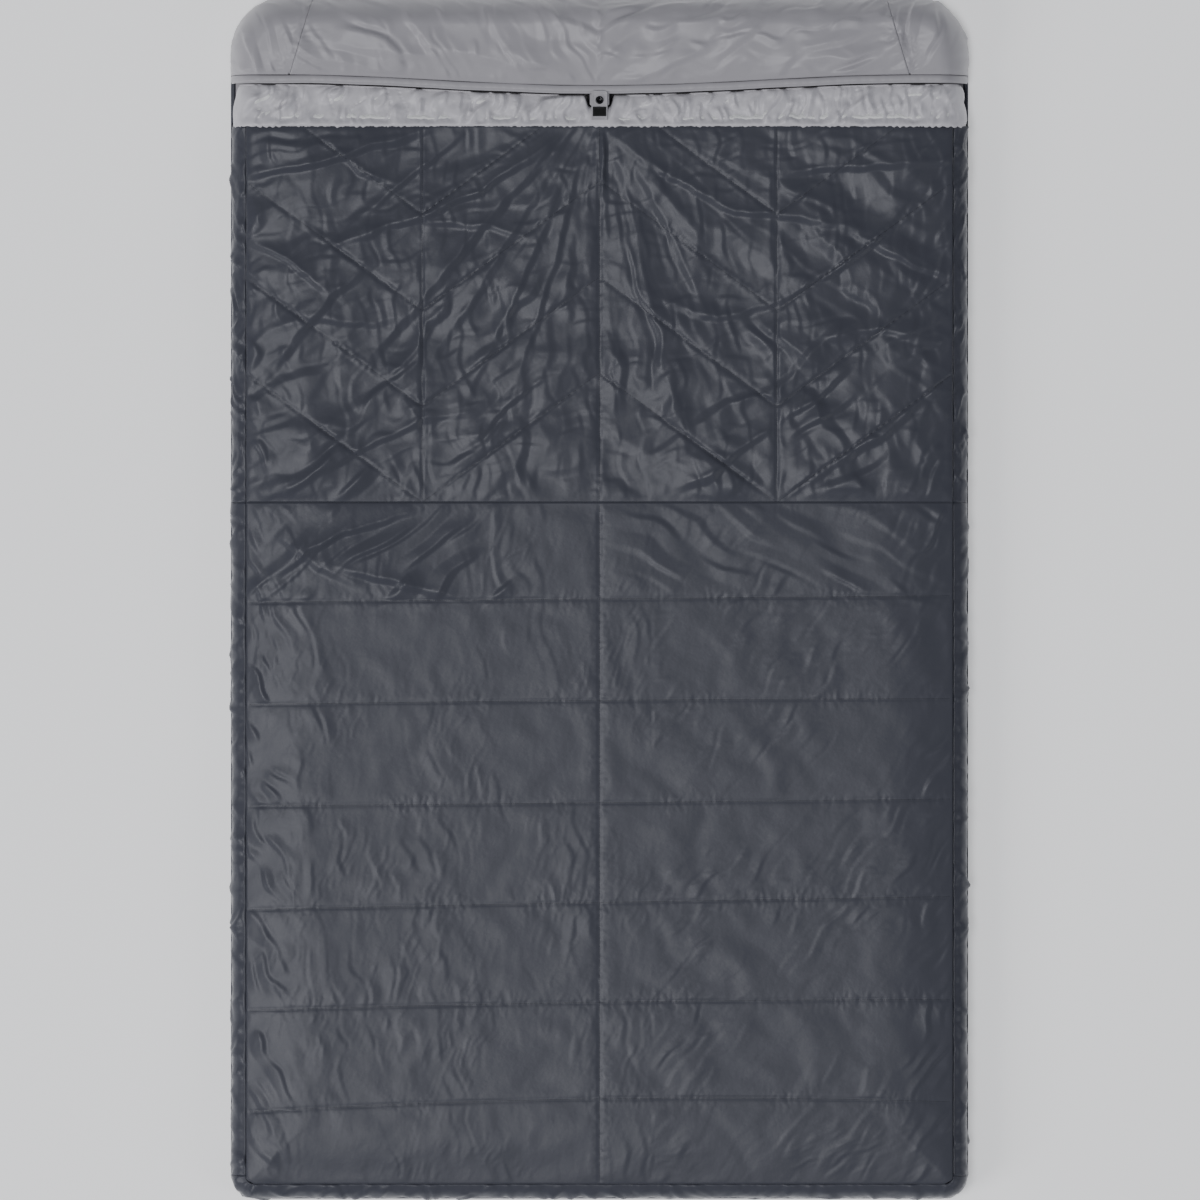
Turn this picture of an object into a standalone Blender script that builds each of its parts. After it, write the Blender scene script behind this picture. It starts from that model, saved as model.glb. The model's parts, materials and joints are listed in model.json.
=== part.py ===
"""Two-person camp quilt: a base sheet, a fitted head pocket, a closed lower cover and an upper
cover that turns down, with a collar, a snap tab and two side zips.

Frame: +Z up, +Y towards the head, +X to the right, origin on the ground under the middle.
Sizes are in metres, angles in degrees.
"""

from math import cos, hypot, pi, radians, sin, sqrt

import bmesh
import bpy
from mathutils import Matrix, Vector

# Overall plan
LENGTH = 2.2352
WIDTH = 1.3716
HEAD_RADIUS = 0.105
FOOT_RADIUS = 0.045

# Fabric and clearances
GAP = 0.0003  # between pieces that touch
SKIN = 0.0012  # a face fabric with its lining of thread and seam
BASE_WADDING = 0.005
HEM_WALL = 0.0008

# Head pocket
MOUTH_FROM_HEAD = 0.1826  # head end to the front of the hem, on the centre line
MOUTH_BOW = 0.020  # how far the mouth runs back towards the head at the sides
BOW_FROM_SIDE = 0.0858  # the mouth is straight from here out
HOOD_TOP = 0.116
MOUTH_BELOW_TAB = 0.0009  # the tab's tip lies over the hem
CREST_REACH = 0.08  # mouth to where the hood is at its full height
DOME = 0.055  # plan width of the hood's rounded edge
CORNER_AT_HEAD = 0.1558  # width of a corner panel along the head end
CORNER_AT_MOUTH = 0.1108
HEM_WIDTH = 0.015
HEM_THICKNESS = 0.004
ELASTIC_WIDTH = 0.010
ELASTIC_THICKNESS = 0.0012

# Quilted covers
COVER_TOP = 0.100
SEAM_TOP = 0.085
CROWN_REACH = 0.12
CROWN_POWER = 2.5  # how soon the crown levels off
LINING_BOTTOM = 0.073
SEAM_INSET = 0.0305  # plan width of the side walls, edge to seam
FOLD_FROM_HEAD = 0.9406
FOLD_SLIT = 0.001
AXIS_RISE = 0.001  # the fold's axis above the covers
WALL_BULGE = 0.0275
WALL_MIDDLE = 0.050
WALL_TURN = 115  # how far round its bulge the upper wall goes
CORNER_STEPS = 6  # facets round a foot corner

# Collar
COLLAR_DEPTH = 0.054
COLLAR_THICKNESS = 0.026
COLLAR_DROP = 0.0105  # the collar's middle below the seam that joins it to the shells
DROP_POWER = 4  # how near the seam that lift stays
COLLAR_BEND = 0.036
COLLAR_SIDE = 0.004  # the bulge of the side walls to the collar's outer side
COLLAR_END = 0.042
COLLAR_SKIN = 0.001
SWING_CLEARANCE = 0.006  # collar to hem, for the turn-down
NOTCH_DEPTH = 0.021
NOTCH_FLAT = 0.023
NOTCH_HALF_WIDTH = 0.050
FILL_INSET = 0.0026
FILL_FRONT_SETBACK = 0.009
FILL_BACK_SETBACK = 0.008
CORD_RADIUS = 0.0014
CORD_SETBACK = 0.0048

# Snap tab
TAB_WIDTH = 0.030
TAB_LENGTH = 0.0545
TAB_THICKNESS = 0.0012
TAB_CORNER = 0.006
TAB_LAP = 0.0055  # tab's tip past the front of the hem
SNAP_FROM_TIP = 0.0176
TONGUE_WIDTH = 0.036
TONGUE_LENGTH = 0.022
TONGUE_CORNER = 0.004
CAP_RADIUS = 0.0075
CAP_HEIGHT = 0.0022
STUD_RADIUS = 0.006
STUD_FLANGE = 0.0008
STUD_HEIGHT = 0.003
SPIGOT_RADIUS = 0.003
BARREL_RADIUS = 0.0017
BARREL_CLEARANCE = 0.0004
SOCKET_RADIUS = 0.00625
SOCKET_HEIGHT = 0.003
SOCKET_PLATE = 0.0007
PATCH_WIDTH = 0.025
PATCH_LENGTH = 0.0176
PATCH_THICKNESS = 0.002
PATCH_CORNER = 0.0015
PATCH_FROM_ROOT = 0.007

# Side zips
TAPE_THICKNESS = 0.001
BEAD = 0.0024  # side of the coil's square envelope
BEAD_SPLIT = 0.002  # between the two coils, where the slider's post runs
BASE_TAPE_RISE = 0.010
COVER_TAPE_RISE = 0.0116
TAPE_START = 0.010  # fold to the tapes
TAPE_PAST_COLLAR_SEAM = 0.020  # the base tape runs on under the collar
SLIDER_LENGTH = 0.012
SLIDER_HEIGHT = 0.009
SLIDER_PLATE = 0.0014
SLIDER_CLEARANCE = 0.0006
SLIDER_POST = 0.0012  # the post's height
POST_DEPTH = 0.003
POST_SETBACK = 0.002  # the post's middle behind the slider's nose
SLIDER_PARK = 0.005  # cover coil's end to the slider
BAIL_RISE = 0.002
BAIL_RADIUS = 0.0006
BAIL_FOOT = 0.0014
BAIL_SPAN = 0.0066
EYE_RADIUS = 0.0017
EYE_BORE = 0.001
EYE_WIDTH = 0.0034
PULL_LENGTH = 0.026
PULL_WIDTH = 0.005
PULL_THICKNESS = 0.0016

# Places worked out from the sizes above
HEAD_Y = LENGTH / 2
MOUTH_Y = HEAD_Y - MOUTH_FROM_HEAD
FOLD_Y = HEAD_Y - FOLD_FROM_HEAD
COLLAR_FRONT = MOUTH_Y - SWING_CLEARANCE
COLLAR_SEAM = COLLAR_FRONT - COLLAR_DEPTH
SEAM_X = WIDTH / 2 - SEAM_INSET
FOOT_SEAM_Y = -LENGTH / 2 + SEAM_INSET
BASE_WADDING_BOTTOM = SKIN + GAP
BASE_LINING_BOTTOM = BASE_WADDING_BOTTOM + BASE_WADDING + GAP
FLOOR = BASE_LINING_BOTTOM + SKIN + GAP  # what stands on the base starts here
COLLAR_MIDDLE = COVER_TOP - SKIN / 2 - COLLAR_DROP
COLLAR_STRAIGHT = SEAM_X + WALL_BULGE - COLLAR_SIDE - COLLAR_THICKNESS / 2 - COLLAR_BEND
HOOD_SEAM_HEAD = WIDTH / 2 - CORNER_AT_HEAD
HOOD_SEAM_MOUTH = WIDTH / 2 - CORNER_AT_MOUTH


def collar_rise(angle, half_thickness):
    """Height of the collar's section over its middle, lifted at the back to meet the shells."""
    return half_thickness * sin(angle) + COLLAR_DROP * ((1 - cos(angle)) / 2) ** DROP_POWER


COLLAR_AROUND = [radians(30 * k) for k in range(13)]
COLLAR_TOP = COLLAR_MIDDLE + max(collar_rise(a, COLLAR_THICKNESS / 2) for a in COLLAR_AROUND)
TAB_BOTTOM = COLLAR_TOP + GAP
TONGUE_TOP = TAB_BOTTOM - SOCKET_HEIGHT - STUD_FLANGE - 3 * GAP
MOUTH_TOP = TAB_BOTTOM - MOUTH_BELOW_TAB
TAB_TIP_Y = MOUTH_Y + TAB_LAP
TAB_ROOT_Y = TAB_TIP_Y - TAB_LENGTH
SNAP_Y = TAB_TIP_Y - SNAP_FROM_TIP
WALL_FOOT_X = SEAM_X + WALL_BULGE * sin(radians(WALL_TURN)) - SKIN
CHAIN_X = WALL_FOOT_X - 2 * GAP - TAPE_THICKNESS / 2
BASE_BEAD_TOP = FLOOR + BASE_TAPE_RISE + BEAD
CHAIN_Z = BASE_BEAD_TOP + BEAD_SPLIT / 2
COVER_COIL_END = COLLAR_SEAM - SLIDER_PARK
SLIDER_Y = COVER_COIL_END + SLIDER_PARK + SLIDER_LENGTH / 2


def clear_scene():
    for obj in list(bpy.data.objects):
        bpy.data.objects.remove(obj, do_unlink=True)


def new_collection(name):
    collection = bpy.data.collections.new(name)
    bpy.context.scene.collection.children.link(collection)
    return collection


def finish_material(name, colour, roughness, metallic=0.0):
    material = bpy.data.materials.new(name)
    material.use_nodes = True
    shader = material.node_tree.nodes["Principled BSDF"]
    shader.inputs["Base Color"].default_value = (*colour, 1.0)
    shader.inputs["Roughness"].default_value = roughness
    shader.inputs["Metallic"].default_value = metallic
    material.diffuse_color = (*colour, 1.0)
    return material


clear_scene()
QUILT = new_collection("camp_quilt")
CUTTERS = new_collection("cutters")
DARK = finish_material("dark_taffeta", (0.075, 0.078, 0.098), 0.5)
LIGHT = finish_material("light_taffeta", (0.365, 0.355, 0.380), 0.5)
WADDING = finish_material("wadding", (0.80, 0.80, 0.80), 0.9)
ELASTIC = finish_material("elastic", (0.60, 0.60, 0.62), 0.8)
SNAP_METAL = finish_material("black_metal", (0.02, 0.02, 0.022), 0.35, 1.0)
HOOK_TAPE = finish_material("hook_tape", (0.012, 0.012, 0.013), 0.8)
ZIP_TAPE = finish_material("zip_tape", (0.045, 0.046, 0.055), 0.7)
ZIP_METAL = finish_material("zip_metal", (0.03, 0.03, 0.033), 0.4, 1.0)
PULL_PLASTIC = finish_material("pull_plastic", (0.03, 0.03, 0.032), 0.5)


# Building tools


def add_axis(name, place, parent=None):
    """An empty on a joint's axis, which its body's pieces hang from."""
    axis = bpy.data.objects.new(name, None)
    axis.empty_display_size = 0.05
    axis.matrix_world = Matrix.Translation(place)
    QUILT.objects.link(axis)
    if parent:
        hang(axis, parent)
    return axis


def hang(obj, parent):
    bpy.context.view_layer.update()
    obj.parent = parent
    obj.matrix_parent_inverse = parent.matrix_world.inverted()


def add_object(name, data, material, parent, collection=None):
    obj = bpy.data.objects.new(name, data)
    (collection or QUILT).objects.link(obj)
    if material:
        data.materials.append(material)
    if parent:
        hang(obj, parent)
    return obj


def mesh_object(name, form, material, parent, collection=None):
    """An object from a bmesh, with its loose doubles merged."""
    bmesh.ops.remove_doubles(form, verts=form.verts[:], dist=1e-6)
    bmesh.ops.recalc_face_normals(form, faces=form.faces[:])
    mesh = bpy.data.meshes.new(name)
    form.to_mesh(mesh)
    form.free()
    return add_object(name, mesh, material, parent, collection)


def sheet_form(place, columns, rows):
    """A sheet of quads with a point at place(u, v) for each u in columns and v in rows."""
    form = bmesh.new()
    wide, high = len(columns) - 1, len(rows) - 1
    bmesh.ops.create_grid(form, x_segments=wide, y_segments=high, size=0.5)
    for vert in form.verts:
        u = columns[round((vert.co.x + 0.5) * wide)]
        v = rows[round((vert.co.y + 0.5) * high)]
        vert.co = place(u, v)
    return form


def add_skin(name, place, columns, rows, thickness, material, parent=None):
    """A fabric sheet whose outer face is place(u, v), thickened inwards."""
    obj = mesh_object(name, sheet_form(place, columns, rows), material, parent)
    thicken = obj.modifiers.new("Thickness", "SOLIDIFY")
    thicken.thickness = thickness
    thicken.offset = -1
    return obj


def add_slab(name, place, columns, rows, bottom, material, parent=None):
    """A solid between the surface place(u, v) and its copy moved down to bottom(point)."""
    form = sheet_form(place, columns, rows)
    bmesh.ops.remove_doubles(form, verts=form.verts[:], dist=1e-6)
    made = bmesh.ops.extrude_face_region(form, geom=form.faces[:])
    for element in made["geom"]:
        if isinstance(element, bmesh.types.BMVert):
            element.co.z = bottom(element.co)
    return mesh_object(name, form, material, parent)


def add_plate(name, loops, bottom, thickness, material, parent=None):
    """A flat piece with the plan outline loops[0] and a hole for each further loop."""
    curve = bpy.data.curves.new(name, "CURVE")
    curve.dimensions = "2D"
    curve.fill_mode = "BOTH"
    curve.extrude = thickness / 2
    for loop in loops:
        spline = curve.splines.new("POLY")
        spline.points.add(len(loop) - 1)
        for point, (x, y) in zip(spline.points, loop):
            point.co = (x, y, 0, 1)
        spline.use_cyclic_u = True
    obj = bpy.data.objects.new(name, curve)
    obj.location.z = bottom + thickness / 2
    QUILT.objects.link(obj)
    curve.materials.append(material)
    if parent:
        hang(obj, parent)
    return obj


def add_turned(name, profile, closed, place, material, parent):
    """A piece turned about +Z from (radius, height) points that run down its outer side."""
    mesh = bpy.data.meshes.new(name)
    form = bmesh.new()
    verts = [form.verts.new((radius, 0, height)) for radius, height in profile]
    for first, second in zip(verts, verts[1:] + verts[:1] if closed else verts[1:]):
        form.edges.new((first, second))
    form.to_mesh(mesh)
    form.free()
    obj = bpy.data.objects.new(name, mesh)
    obj.location = place
    QUILT.objects.link(obj)
    mesh.materials.append(material)
    turn = obj.modifiers.new("Turn", "SCREW")
    turn.angle = 2 * pi
    turn.steps = turn.render_steps = 20
    turn.use_merge_vertices = True
    turn.merge_threshold = 0.00001
    hang(obj, parent)
    return obj


def add_box(name, centre, size, material=None, parent=None, collection=None):
    form = bmesh.new()
    bmesh.ops.create_cube(form, size=1.0)
    bmesh.ops.scale(form, vec=size, verts=form.verts[:])
    bmesh.ops.translate(form, vec=centre, verts=form.verts[:])
    return mesh_object(name, form, material, parent, collection)


def add_upright_rod(name, centre, radius, length, material=None, parent=None, collection=None):
    form = bmesh.new()
    bmesh.ops.create_cone(
        form, cap_ends=True, segments=16, radius1=radius, radius2=radius, depth=length
    )
    bmesh.ops.translate(form, vec=centre, verts=form.verts[:])
    return mesh_object(name, form, material, parent, collection)


def combine(obj, other, operation):
    """Joins other to obj, or cuts it from obj, and keeps other as a hidden helper."""
    other.hide_render = True
    other.display_type = "WIRE"
    boolean = obj.modifiers.new(other.name, "BOOLEAN")
    boolean.object = other
    boolean.operation = operation
    boolean.solver = "EXACT"


def cap_ends(obj):
    """Closes the open ends of a swept tube."""
    form = bmesh.new()
    form.from_mesh(obj.data)
    bmesh.ops.holes_fill(form, edges=[edge for edge in form.edges if edge.is_boundary])
    bmesh.ops.recalc_face_normals(form, faces=form.faces[:])
    form.to_mesh(obj.data)
    form.free()


def spread(first, last, count):
    return [first + (last - first) * step / (count - 1) for step in range(count)]


def circle(x, y, radius, points=20):
    return [
        (x + radius * cos(2 * pi * k / points), y + radius * sin(2 * pi * k / points))
        for k in range(points)
    ]


def rounded_end(half_width, near, far, radius, steps=4):
    """A strip's outline from near to far in y, with its two far corners rounded."""
    points = [(-half_width, near), (half_width, near)]
    for side, first in ((1, 0), (-1, 90)):
        for step in range(steps + 1):
            angle = radians(first + 90 * step / steps)
            x = side * (half_width - radius) + radius * cos(angle)
            points.append((x, far - radius + radius * sin(angle)))
    return points


def smooth(share):
    share = min(max(share, 0.0), 1.0)
    return (1 - cos(pi * share)) / 2


# The shapes that the pieces share


def edge_distance(x, y):
    """How far a plan point lies inside the quilt's outline."""
    radius = HEAD_RADIUS if y > 0 else FOOT_RADIUS
    across, along = WIDTH / 2 - abs(x), LENGTH / 2 - abs(y)
    if across < radius and along < radius:
        return radius - hypot(radius - across, radius - along)
    return min(across, along)


def base_outline(steps=8):
    points = []
    corners = ((1, 1, HEAD_RADIUS), (-1, 1, HEAD_RADIUS), (-1, -1, FOOT_RADIUS), (1, -1, FOOT_RADIUS))
    for quarter, (sx, sy, radius) in enumerate(corners):
        for step in range(steps + 1):
            angle = radians(90 * quarter + 90 * step / steps)
            x = sx * (WIDTH / 2 - radius) + radius * cos(angle)
            y = sy * (LENGTH / 2 - radius) + radius * sin(angle)
            points.append((x, y))
    return points


def mouth_y(x):
    """Front edge of the hood's hem."""
    return MOUTH_Y + MOUTH_BOW * smooth(abs(x) / (WIDTH / 2 - BOW_FROM_SIDE))


def hood_crest(y):
    return MOUTH_TOP + (HOOD_TOP - MOUTH_TOP) * smooth((y - MOUTH_Y) / CREST_REACH)


def hood_point(x, y):
    """The hood's outer face: a rounded edge that rises from the base to the crest."""
    inside = max(edge_distance(x, y), 0.0)
    rise = sqrt(1 - (1 - min(inside / DOME, 1)) ** 2)
    return Vector((x, y, FLOOR + (hood_crest(y) - FLOOR) * rise))


def hood_back_edge(x):
    """Where the hood's panels meet the back of the hem."""
    return mouth_y(x) + HEM_WIDTH


def hood_seam_x(y):
    """The seam between the centre panel and a corner panel, a straight line in plan."""
    mouth = hood_back_edge(HOOD_SEAM_MOUTH)
    share = (HEAD_Y - y) / (HEAD_Y - mouth)
    return HOOD_SEAM_HEAD + (HOOD_SEAM_MOUTH - HOOD_SEAM_HEAD) * share


def mouth_stations(steps=6):
    """Half widths across the mouth, closest together where the hood turns down."""
    turn = [WIDTH / 2 - DOME * (1 - cos(radians(90 * k / steps))) for k in range(steps + 1)]
    flat = spread(WIDTH / 2 - DOME, 0, steps)[1:]
    half = turn + flat
    return [-x for x in half[:-1]] + half[::-1]


def mouth_frame(x):
    """A point on the mouth's section and the direction into the hood from it."""
    z = hood_point(x, MOUTH_Y - CREST_REACH).z
    inside = min((WIDTH / 2 - abs(x)) / DOME, 1)
    height = MOUTH_TOP - FLOOR
    lean = (1 - inside) / DOME
    climb = (z - FLOOR) / height**2
    inward = Vector((-lean * (1 if x > 0 else -1), 0, -climb)).normalized()
    return Vector((x, mouth_y(x), z)), inward


def cover_top_z(x, y):
    """The covers' outer face: flat in the middle and lower towards the seams."""
    inside = min(max(edge_distance(x, y) - SEAM_INSET, 0) / CROWN_REACH, 1)
    return SEAM_TOP + (COVER_TOP - SEAM_TOP) * (1 - (1 - inside) ** CROWN_POWER)


def cover_half_width(y):
    """The seam's half width, with the foot's rounded corners."""
    radius = FOOT_RADIUS - SEAM_INSET
    into_corner = min(max(FOOT_SEAM_Y + radius - y, 0), radius)
    return SEAM_X - radius + sqrt(radius**2 - into_corner**2)


COVER_COLUMNS = (0, 0.5, 0.8, 0.88, 0.94, 0.98, 1)
UPPER_ROWS = spread(COLLAR_SEAM, FOLD_Y + FOLD_SLIT / 2, 3)


def lower_rows():
    radius = FOOT_RADIUS - SEAM_INSET
    corner = [FOOT_SEAM_Y + radius * (1 - sin(radians(angle))) for angle in (0, 30, 60, 90)]
    reach = [FOOT_SEAM_Y + CROWN_REACH * share for share in (1, 0.6, 0.3)]
    return [FOLD_Y - FOLD_SLIT / 2] + reach + corner


def add_cover_layers(prefix, rows, parent):
    """Two shell halves, two wadding halves and the lining of one cover."""
    wadding_drop = SKIN + GAP
    wadding_bottom = LINING_BOTTOM + SKIN + GAP
    for side_name, side in (("left", -1), ("right", 1)):

        def shell(u, y):
            x = side * (GAP / 2 + u * (cover_half_width(y) - GAP / 2))
            return Vector((x, y, cover_top_z(x, y)))

        def wadding(u, y):
            point = shell(u * (1 - GAP / SEAM_X), y)
            return Vector((point.x, y, point.z - wadding_drop))

        add_slab(
            f"{prefix}_shell_{side_name}", shell, COVER_COLUMNS, rows,
            lambda point: point.z - SKIN, DARK, parent,
        )
        add_slab(
            f"{prefix}_wadding_{side_name}", wadding, COVER_COLUMNS, rows,
            lambda point: wadding_bottom, WADDING, parent,
        )
    add_slab(
        f"{prefix}_lining", lambda u, y: Vector((u * cover_half_width(y), y, LINING_BOTTOM + SKIN)),
        (-1, 1), rows, lambda point: LINING_BOTTOM, LIGHT, parent,
    )


def wall_profile(turn):
    """(outwards, z) points down a side wall, from its seam, round its bulge by turn degrees."""
    angles = spread(0, radians(turn), 8)
    rise = SEAM_TOP - WALL_MIDDLE
    return [(GAP + WALL_BULGE * sin(a), WALL_MIDDLE + rise * cos(a)) for a in angles]


# The pieces


def add_base():
    outline = [base_outline()]
    add_plate("base_shell", outline, 0, SKIN, DARK)
    add_plate("base_wadding", outline, BASE_WADDING_BOTTOM, BASE_WADDING, WADDING)
    add_plate("base_lining", outline, BASE_LINING_BOTTOM, SKIN, LIGHT)


def add_hood():
    turn = [DOME * (1 - cos(radians(15 * k))) / DOME for k in range(7)]

    def centre(u, v):
        back = hood_back_edge(u * HOOD_SEAM_MOUTH) + GAP
        y = HEAD_Y - DOME * min(v, 1) - (HEAD_Y - DOME - back) * max(v - 1, 0)
        return hood_point(u * (hood_seam_x(y) - GAP / 2), y)

    rows = turn + [1.35, 1.7, 2]
    add_skin("hood_centre_panel", centre, spread(-1, 1, 9), rows, SKIN, LIGHT)

    def outline_point(w):
        """Along the head end, round the corner and down the side."""
        if w < 1:
            first = HOOD_SEAM_HEAD + GAP
            return Vector((first + (WIDTH / 2 - HEAD_RADIUS - first) * w, HEAD_Y, 0))
        if w <= 2:
            angle = radians(90 * (2 - w))
            x = WIDTH / 2 - HEAD_RADIUS + HEAD_RADIUS * cos(angle)
            return Vector((x, HEAD_Y - HEAD_RADIUS + HEAD_RADIUS * sin(angle), 0))
        last = hood_back_edge(WIDTH / 2) + GAP
        return Vector((WIDTH / 2, HEAD_Y - HEAD_RADIUS + (last - HEAD_Y + HEAD_RADIUS) * (w - 2), 0))

    for side_name, side in (("left", -1), ("right", 1)):

        def corner(w, s):
            pole = Vector((HOOD_SEAM_MOUTH + GAP, hood_back_edge(HOOD_SEAM_MOUTH) + GAP, 0))
            plan = outline_point(w).lerp(pole, s)
            return hood_point(side * plan.x, plan.y)

        around = [0, 0.5, 1, 1.2, 1.4, 1.6, 1.8, 2, 2.5, 3]
        inwards = [0, 0.015, 0.05, 0.11, 0.20, 0.32, 0.5, 0.75, 1]
        add_skin(f"hood_corner_{side_name}", corner, around, inwards, SKIN, LIGHT)


def add_hem():
    stations = mouth_stations()
    loop = ((0, 0), (1, 0), (1, 1), (0, 1), (0, 0))

    def hem(x, v):
        along, depth = loop[v]
        point, inward = mouth_frame(x)
        return point + Vector((0, along * HEM_WIDTH, 0)) + inward * depth * HEM_THICKNESS

    def elastic(x, v):
        point, inward = mouth_frame(x)
        middle = HEM_WIDTH / 2 + (v - 0.5) * ELASTIC_WIDTH
        depth = (HEM_THICKNESS - ELASTIC_THICKNESS) / 2
        return point + Vector((0, middle, 0)) + inward * depth

    add_skin("hood_hem", hem, stations, range(5), HEM_WALL, LIGHT)
    add_skin("hood_elastic", elastic, stations, (0, 1), ELASTIC_THICKNESS, ELASTIC)


def add_lower_walls():
    profile = wall_profile(90) + [(GAP + WALL_BULGE, FLOOR)]
    corner_radius = FOOT_RADIUS - SEAM_INSET
    corner_y = FOOT_SEAM_Y + corner_radius
    corner_x = SEAM_X - corner_radius

    for side_name, side in (("left", -1), ("right", 1)):

        def wall(y, k):
            outwards, z = profile[k]
            return Vector((side * (SEAM_X + outwards), y, z))

        ends = (FOLD_Y - FOLD_SLIT / 2, corner_y + GAP)
        add_skin(f"lower_wall_{side_name}", wall, ends, range(len(profile)), SKIN, DARK)

    def foot(step, k):
        """Round one rounded corner, across the foot and round the other."""
        outwards, z = profile[k]
        side, past = (-1, 0) if step <= CORNER_STEPS else (1, 1)
        turn = radians(180 + 90 * (step - past) / CORNER_STEPS)
        reach = corner_radius + outwards
        return Vector((side * corner_x + reach * cos(turn), corner_y + reach * sin(turn), z))

    steps = range(2 * CORNER_STEPS + 2)
    add_skin("foot_wall", foot, steps, range(len(profile)), SKIN, DARK)


def add_upper_walls(parent):
    profile = wall_profile(WALL_TURN)
    for side_name, side in (("left", -1), ("right", 1)):

        def wall(y, k):
            outwards, z = profile[k]
            return Vector((side * (SEAM_X + outwards), y, z))

        ends = (FOLD_Y + FOLD_SLIT / 2, COLLAR_SEAM - GAP)
        add_skin(f"upper_wall_{side_name}", wall, ends, range(len(profile)), SKIN, DARK, parent)


def collar_front(x):
    """The collar's front edge, which follows the hem and leaves a notch for the tongue."""
    notch = 1 - smooth((abs(x) - NOTCH_FLAT) / (NOTCH_HALF_WIDTH - NOTCH_FLAT))
    return mouth_y(x) - SWING_CLEARANCE - NOTCH_DEPTH * notch


def collar_stations():
    """Places along the collar's middle line: x on the flat run, then a share round the bend."""
    notch = spread(NOTCH_FLAT, NOTCH_HALF_WIDTH, 5)
    half = [(x, 0) for x in [0] + notch + spread(NOTCH_HALF_WIDTH, COLLAR_STRAIGHT, 6)[1:]]
    half += [(COLLAR_STRAIGHT, share) for share in (0.2, 0.4, 0.6, 0.8, 1.0, 1.3)]
    return [(-x, share) for x, share in half[:0:-1]] + half


def collar_frame(station, shrink=0.0):
    """The collar's middle line at a station, and the direction out of the quilt there."""
    x, share = station
    side = -1 if x < 0 else 1
    angle = radians(90 * min(share, 1))
    outward = Vector((side * sin(angle), 0, cos(angle)))
    middle = Vector((x, 0, COLLAR_MIDDLE - COLLAR_BEND)) + outward * COLLAR_BEND
    if share > 1:
        middle.z = COLLAR_END + shrink
    return middle, outward


def add_collar(parent):
    stations = collar_stations()

    def ring(back, front_setback, half_thickness, shrink):
        def place(index, angle):
            middle, outward = collar_frame(stations[index], shrink)
            front = collar_front(middle.x) - front_setback
            centre_y, half = (front + back) / 2, (front - back) / 2
            y = centre_y + half * cos(angle)
            rise = collar_rise(angle, half_thickness)
            return Vector((middle.x, y, middle.z)) + outward * rise

        return place

    half = COLLAR_THICKNESS / 2
    columns = range(len(stations))
    tube = ring(COLLAR_SEAM + GAP, 0, half, 0)
    add_skin("collar_tube", tube, columns, COLLAR_AROUND, COLLAR_SKIN, LIGHT, parent)
    fill = ring(COLLAR_SEAM + FILL_BACK_SETBACK, FILL_FRONT_SETBACK, half - FILL_INSET, GAP)
    form = sheet_form(fill, columns, COLLAR_AROUND)
    cap_ends(mesh_object("collar_fill", form, WADDING, parent))

    curve = bpy.data.curves.new("collar_elastic", "CURVE")
    curve.dimensions = "3D"
    curve.bevel_depth = CORD_RADIUS
    curve.bevel_resolution = 2
    curve.use_fill_caps = True
    spline = curve.splines.new("POLY")
    spline.points.add(len(stations) - 1)
    for point, station in zip(spline.points, stations):
        middle, _ = collar_frame(station, GAP)
        point.co = (middle.x, collar_front(middle.x) - CORD_SETBACK, middle.z, 1)
    add_object("collar_elastic", curve, ELASTIC, parent)


def add_tongue():
    """The flap under the hem that carries the stud, and the stud's two halves."""
    bottom = TONGUE_TOP - SKIN
    hole = BARREL_RADIUS + BARREL_CLEARANCE
    near, far = MOUTH_Y - GAP - TONGUE_LENGTH, MOUTH_Y - GAP
    flap = rounded_end(TONGUE_WIDTH / 2, near, far, TONGUE_CORNER)
    outline = [(x, near + far - y) for x, y in flap]
    add_plate("hood_tongue", [outline[::-1], circle(0, SNAP_Y, hole)], bottom, SKIN, LIGHT)
    stud = (
        (SPIGOT_RADIUS, STUD_HEIGHT), (SPIGOT_RADIUS, STUD_FLANGE), (STUD_RADIUS, STUD_FLANGE),
        (STUD_RADIUS, 0), (hole, 0), (hole, STUD_HEIGHT),
    )
    post_top = STUD_HEIGHT + SKIN + GAP
    post = (
        (0, post_top), (BARREL_RADIUS, post_top), (BARREL_RADIUS, 0), (STUD_RADIUS, 0),
        (STUD_RADIUS, -STUD_FLANGE), (0, -STUD_FLANGE),
    )
    root = add_axis("hood_snap", (0, SNAP_Y, TONGUE_TOP))
    add_turned("snap_stud", stud, True, (0, SNAP_Y, TONGUE_TOP + GAP), SNAP_METAL, root)
    add_turned("snap_post", post, False, (0, SNAP_Y, bottom - GAP), SNAP_METAL, root)


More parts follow.
